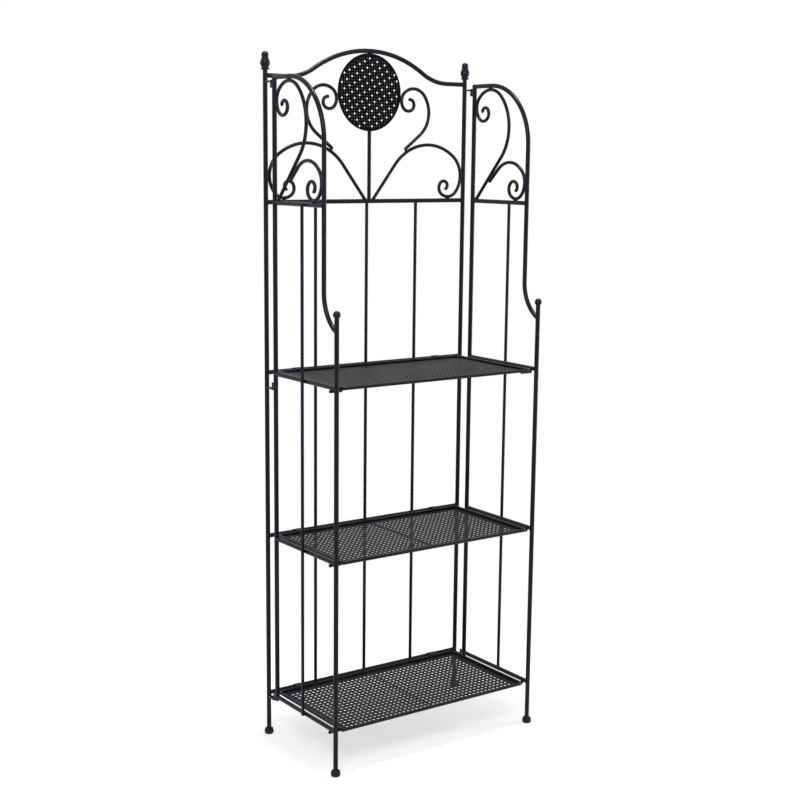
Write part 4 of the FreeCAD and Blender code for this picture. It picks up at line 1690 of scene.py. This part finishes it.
    def _straps(self) -> None:
        """The straps that hang the shelf on the back rail."""
        outer, inner = self._strap_outline()
        shape = bmesh.new()
        for left in (self.straps.low.x, self.straps.high.x - self.strap_width):
            near_out, near_in, far_out, far_in = (
                [shape.verts.new((x, point.x, point.y)) for point in edge]
                for x in (left, left + self.strap_width) for edge in (outer, inner))
            for first, second in ((near_out, far_out), (far_out, far_in), (far_in, near_in),
                                  (near_in, near_out)):
                for n in range(len(outer) - 1):
                    shape.faces.new((first[n], second[n], second[n + 1], first[n + 1]))
            for n in (0, len(outer) - 1):
                shape.faces.new((near_out[n], far_out[n], far_in[n], near_in[n]))
        self.settle(self.shop.closed_piece(self.prefix + "rail_straps", shape, Finish.SHELF), "hinge_straps")

    def _welds(self) -> None:
        """Short runs of beads that hold the sheet to the rim."""
        inset = 2 * self.rim_radius - self.bead_overlap
        for along, across in ((0, 1), (1, 0)):
            count = int(self.rim.sides[along] // self.bead_spacing)
            for edge in (self.rim.low[across] + inset, self.rim.high[across] - inset):
                for n in range(count):
                    middle = self.rim.centre[along] + (n - (count - 1) / 2) * self.bead_spacing
                    for step in range(-self.bead_steps, self.bead_steps + 1):
                        place = Vector((0.0, 0.0, self.sheet.high.z + self.bead_rise))
                        place[along], place[across] = middle + step * self.bead_pitch, edge
                        self.beads.add(place)
        self.weld()


@dataclass(frozen=True)
class Softbox:
    """A soft rectangular lamp."""

    name: str
    place: Place
    sides: Point
    power: float

    def hang(self, target: Place) -> None:
        """Hang the lamp in its place.

        Args:
            target: the point that it faces.
        """
        light = bpy.data.lights.new(self.name, "AREA")
        light.shape = "RECTANGLE"
        light.size, light.size_y = self.sides
        light.energy = self.power
        lamp = placed(self.name, light)
        lamp.location = self.place
        aim = Vector(target) - Vector(self.place)
        lamp.rotation_euler = aim.to_track_quat("-Z", "Y").to_euler()


@dataclass
class Studio:
    """The floor, the light and the camera at the photograph's angle."""

    pixels: float = 800.0
    focal_pixels: float = 1431.3
    sensor: float = 36.0
    place: Place = (-2.0563, -2.8746, 1.4627)
    yaw: float = 35.464
    pitch: float = -10.366
    roll: float = 0.615
    shift: float = 0.025
    floor_size: float = 14.0
    floor_shade: float = 0.62
    floor_glow: float = 0.60
    fade_start: float = 0.35
    fade_end: float = 1.1
    backdrop_light: float = 1.0
    room_light: float = 0.45
    lamp_target: Place = (0.0, 0.0, 0.8)
    lamps: tuple[Softbox, ...] = (Softbox("key_softbox", (-2.4, -2.4, 3.2), (1.2, 1.2), 56.0),
                                  Softbox("fill_strip", (3.2, -1.2, 1.2), (0.5, 2.0), 46.0),
                                  Softbox("top_softbox", (0.0, -0.1, 4.2), (0.6, 0.6), 70.0))

    def build(self) -> None:
        """Set up the whole studio."""
        bpy.context.scene.view_settings.view_transform = "Standard"
        self._floor()
        self._world()
        for lamp in self.lamps:
            lamp.hang(self.lamp_target)
        self._camera()

    @staticmethod
    def _seen(bench: Bench) -> Flow:
        """Tell the rays that show a backdrop from those that only light the rack.

        Args:
            bench: the tree of the floor's material or of the world.

        Returns:
            One on camera, glossy and transmission rays, and nought on the others.
        """
        path = bench.node("ShaderNodeLightPath")
        camera, glossy, through = (bench.out(path, "Is %s Ray" % kind)
                                   for kind in ("Camera", "Glossy", "Transmission"))
        return camera.larger(glossy).larger(through)

    def _floor(self) -> None:
        """A pale floor that shows white and keeps the rack's shadow."""
        shape = bmesh.new()
        bmesh.ops.create_grid(shape, x_segments=1, y_segments=1, size=self.floor_size / 2)
        mesh = poured("studio_floor", shape)
        floor = placed("studio_floor", mesh)
        material = bpy.data.materials.new("pale_floor")
        bench = Bench.emptied(material)
        matt = bench.step("ShaderNodeBsdfDiffuse", None, {"Color": (self.floor_shade,) * 3 + (1.0,)})
        glow = bench.step("ShaderNodeEmission", None, {"Strength": self.floor_glow})
        lit = bench.step("ShaderNodeAddShader", None, {0: matt, 1: glow})
        white = bench.step("ShaderNodeEmission", None, {"Strength": self.backdrop_light})
        place = bench.step("ShaderNodeTexCoord", key="Object")
        away = bench.step("ShaderNodeVectorMath", {"operation": "LENGTH"}, {0: place}, "Value")
        fade = bench.step("ShaderNodeMapRange", {"interpolation_type": "SMOOTHSTEP"},
                          {"Value": away, "From Min": self.fade_start, "From Max": self.fade_end})
        shown = bench.step("ShaderNodeMixShader", None, {0: fade, 1: lit, 2: white})
        mixed = bench.step("ShaderNodeMixShader", None, {0: self._seen(bench), 1: matt, 2: shown})
        bench.node("ShaderNodeOutputMaterial", None, {"Surface": mixed})
        mesh.materials.append(material)

    def _world(self) -> None:
        """A white backdrop, and an even grey light from all round."""
        world = bpy.data.worlds.new("studio_world")
        bpy.context.scene.world = world
        bench = Bench.emptied(world)
        white, grey = (bench.step("ShaderNodeBackground", None, {"Strength": strength, "Color": WHITE})
                       for strength in (self.backdrop_light, self.room_light))
        mixed = bench.step("ShaderNodeMixShader", None, {0: self._seen(bench), 1: grey, 2: white})
        bench.node("ShaderNodeOutputWorld", None, {"Surface": mixed})

    def _camera(self) -> None:
        """The camera that took the photograph."""
        yaw, pitch, roll = (math.radians(angle) for angle in (self.yaw, self.pitch, self.roll))
        ahead = Vector((math.sin(yaw) * math.cos(pitch), math.cos(yaw) * math.cos(pitch), math.sin(pitch)))
        right = Vector((math.cos(yaw), -math.sin(yaw), 0.0))
        up = right.cross(ahead)
        across = right * math.cos(roll) + up * math.sin(roll)
        upward = up * math.cos(roll) - right * math.sin(roll)
        data = bpy.data.cameras.new("photo_camera")
        data.sensor_width = self.sensor
        data.lens = self.focal_pixels * self.sensor / self.pixels
        data.shift_y = self.shift
        camera = placed("photo_camera", data)
        turn = Matrix((across, upward, -ahead)).transposed().to_4x4()
        camera.matrix_world = Matrix.Translation(Vector(self.place)) @ turn
        bpy.context.scene.camera = camera


def main() -> None:
    """Build the rack's pieces and the studio."""
    logging.basicConfig(level=logging.INFO, format="%(name)s: %(message)s")
    shop = Workshop()
    BackFrame(shop).build()
    for hand in Hand:
        SideFrame(shop, hand).build()
    for level in Level:
        Shelf(shop, level).build()
    Studio().build()


if __name__ == "__main__":
    main()
